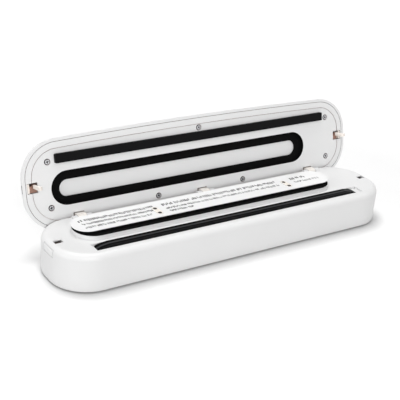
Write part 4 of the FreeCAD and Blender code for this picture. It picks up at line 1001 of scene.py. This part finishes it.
@dataclass
class Studio:
    """Plain pale floor, soft light and the photograph's camera."""

    camera_place: tuple[float, float, float] = (-441.90, -613.32, 384.80)
    yaw_deg: float = 34.561
    pitch_deg: float = 24.885
    roll_deg: float = 4.554
    lens_mm: float = 78.44
    sensor_mm: float = 36.0
    clip_mm: float = 100000.0
    floor_colour: str = "#F6F6F6"
    floor_lift: tuple[float, float] = (0.1, 0.7)
    lift_reach: tuple[float, float] = (300.0, 1000.0)
    # Painted shadow at the machine's foot: reach, lean, limits, samples and colour of the floor's
    # occlusion.
    contact_mm: float = 35.0
    contact_lean: tuple[float, float, float] = (0.0, 0.6, 0.8)
    contact_limits: tuple[float, float] = (0.25, 0.7)
    contact_samples: int = 16
    contact_colour: str = "#CFCFCF"
    bounce_colour: str = "#E4E4E4"
    floor_size: float = 12000.0
    sky_level: float = 0.36
    lamps: tuple[Lamp, ...] = (
        Lamp("overhead_softbox", (0.0, 280.0, 1300.0), 600.0, 8.8),
        Lamp("front_softbox", (-600.0, -1700.0, 1000.0), 1200.0, 18.0),
        Lamp("left_softbox", (-1700.0, -200.0, 500.0), 1000.0, 6.0),
    )

    def build(self) -> None:
        """Add camera, floor, lamps and sky."""
        self.add_camera()
        self.add_floor()
        for lamp in self.lamps:
            lamp.build()
        self.add_sky()
        bpy.context.scene.view_settings.view_transform = "Standard"

    def add_camera(self) -> None:
        """Stand the camera where the photograph was taken."""
        yaw, pitch, roll = (math.radians(value) for value in (self.yaw_deg, self.pitch_deg, self.roll_deg))
        ahead = Vector((math.sin(yaw) * math.cos(pitch), math.cos(yaw) * math.cos(pitch), -math.sin(pitch)))
        level = Vector((math.cos(yaw), -math.sin(yaw), 0.0))
        upright = level.cross(ahead)
        right = math.cos(roll) * level + math.sin(roll) * upright
        top = math.cos(roll) * upright - math.sin(roll) * level
        data = bpy.data.cameras.new("photo_camera")
        data.lens = self.lens_mm
        data.sensor_width = self.sensor_mm
        data.clip_end = self.clip_mm * MM
        camera = bpy.data.objects.new("photo_camera", data)
        turn = Matrix((right, top, -ahead)).transposed().to_4x4()
        camera.matrix_world = Matrix.Translation(Vector(self.camera_place) * MM) @ turn
        bpy.context.scene.collection.objects.link(camera)
        bpy.context.scene.camera = camera

    def seen(self, tree: bpy.types.NodeTree) -> bpy.types.NodeSocket:
        """Add a value that is 1 for what the camera sees straight, mirrored or through glass.

        Args:
            tree: node tree that gets the nodes.

        Returns:
            Socket with the value.
        """
        path = add_node(tree, "ShaderNodeLightPath")
        pair = {0: path.outputs["Is Camera Ray"], 1: path.outputs["Is Glossy Ray"]}
        straight = add_node(tree, "ShaderNodeMath", pair, operation="MAXIMUM")
        through = {0: straight.outputs[0], 1: path.outputs["Is Transmission Ray"]}
        return add_node(tree, "ShaderNodeMath", through, operation="MAXIMUM").outputs[0]

    def floor_tone(self, tree: bpy.types.NodeTree, seen: bpy.types.NodeSocket) -> bpy.types.NodeSocket:
        """Colour the floor: pale to the camera, with a painted shadow at the machine's foot, duller for
        bounces.

        Args:
            tree: the floor material's node tree.
            seen: 1 for what the camera sees.

        Returns:
            Socket with the colour.
        """
        x, y, z = self.contact_lean
        lean = add_node(tree, "ShaderNodeCombineXYZ", {"X": x, "Y": y, "Z": z}).outputs["Vector"]
        reach = {"Distance": self.contact_mm * MM, "Normal": lean}
        around = add_node(tree, "ShaderNodeAmbientOcclusion", reach, samples=self.contact_samples)
        low, high = self.contact_limits
        limits = {"Value": around.outputs["AO"], "From Min": low, "From Max": high}
        share = add_node(tree, "ShaderNodeMapRange", limits).outputs["Result"]
        tones = {0: share, 6: linear(self.contact_colour), 7: linear(self.floor_colour)}
        shown = add_node(tree, "ShaderNodeMix", tones, data_type="RGBA").outputs[2]
        tones = {0: seen, 6: linear(self.bounce_colour), 7: shown}
        return add_node(tree, "ShaderNodeMix", tones, data_type="RGBA").outputs[2]

    def floor_paper(self) -> bpy.types.Material:
        """Build the floor's material, whose glow grows away from the machine.

        Returns:
            The material.
        """
        material = bpy.data.materials.new("pale_floor_paper")
        material.use_nodes = True
        tree = material.node_tree
        tree.nodes.clear()
        seen = self.seen(tree)
        shaded = self.floor_tone(tree, seen)
        paper = add_node(tree, "ShaderNodeBsdfDiffuse", {"Color": shaded})
        place = {0: add_node(tree, "ShaderNodeTexCoord").outputs["Object"]}
        away = add_node(tree, "ShaderNodeVectorMath", place, operation="LENGTH").outputs["Value"]
        near, far = (value * MM for value in self.lift_reach)
        limits = {"Value": away, "From Min": near, "From Max": far}
        limits |= {"To Min": self.floor_lift[0], "To Max": self.floor_lift[1]}
        level = add_node(tree, "ShaderNodeMapRange", limits).outputs["Result"]
        lift = add_node(tree, "ShaderNodeMath", {0: seen, 1: level}, operation="MULTIPLY")
        glow = add_node(tree, "ShaderNodeEmission", {"Color": shaded, "Strength": lift.outputs[0]})
        both = add_node(tree, "ShaderNodeAddShader", {0: paper.outputs[0], 1: glow.outputs[0]})
        add_node(tree, "ShaderNodeOutputMaterial", {"Surface": both.outputs[0]})
        return material

    def add_floor(self) -> None:
        """Lay the floor, which keeps the machine's cast shadow, adds a painted shadow at its foot, and is
        white to the camera.
        """
        sheet = bmesh.new()
        bmesh.ops.create_grid(sheet, x_segments=1, y_segments=1, size=self.floor_size / 2 * MM)
        mesh = bpy.data.meshes.new("floor")
        sheet.to_mesh(mesh)
        sheet.free()
        mesh.materials.append(self.floor_paper())
        floor = bpy.data.objects.new("floor", mesh)
        bpy.context.scene.collection.objects.link(floor)

    def add_sky(self) -> None:
        """Light the scene evenly from all round; the camera sees white."""
        world = bpy.data.worlds.new("studio_sky")
        world.use_nodes = True
        tree = world.node_tree
        tree.nodes.clear()
        level = {"Value": self.seen(tree), "To Min": self.sky_level, "To Max": 1.0}
        strength = add_node(tree, "ShaderNodeMapRange", level)
        sky = add_node(tree, "ShaderNodeBackground", {"Strength": strength.outputs["Result"]})
        sky.inputs["Color"].default_value = (1.0, 1.0, 1.0, 1.0)
        add_node(tree, "ShaderNodeOutputWorld", {"Surface": sky.outputs["Background"]})
        bpy.context.scene.world = world


def main() -> None:
    """Load the frame, dress it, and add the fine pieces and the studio."""
    logging.basicConfig(level=logging.INFO)
    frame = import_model()
    for group in (Base, Chamber, HeatSeal, Lid, Controls, Pump, Electrics):
        assembly = group(frame)
        assembly.dress()
        assembly.build()
    Studio().build()


if __name__ == "__main__":
    main()
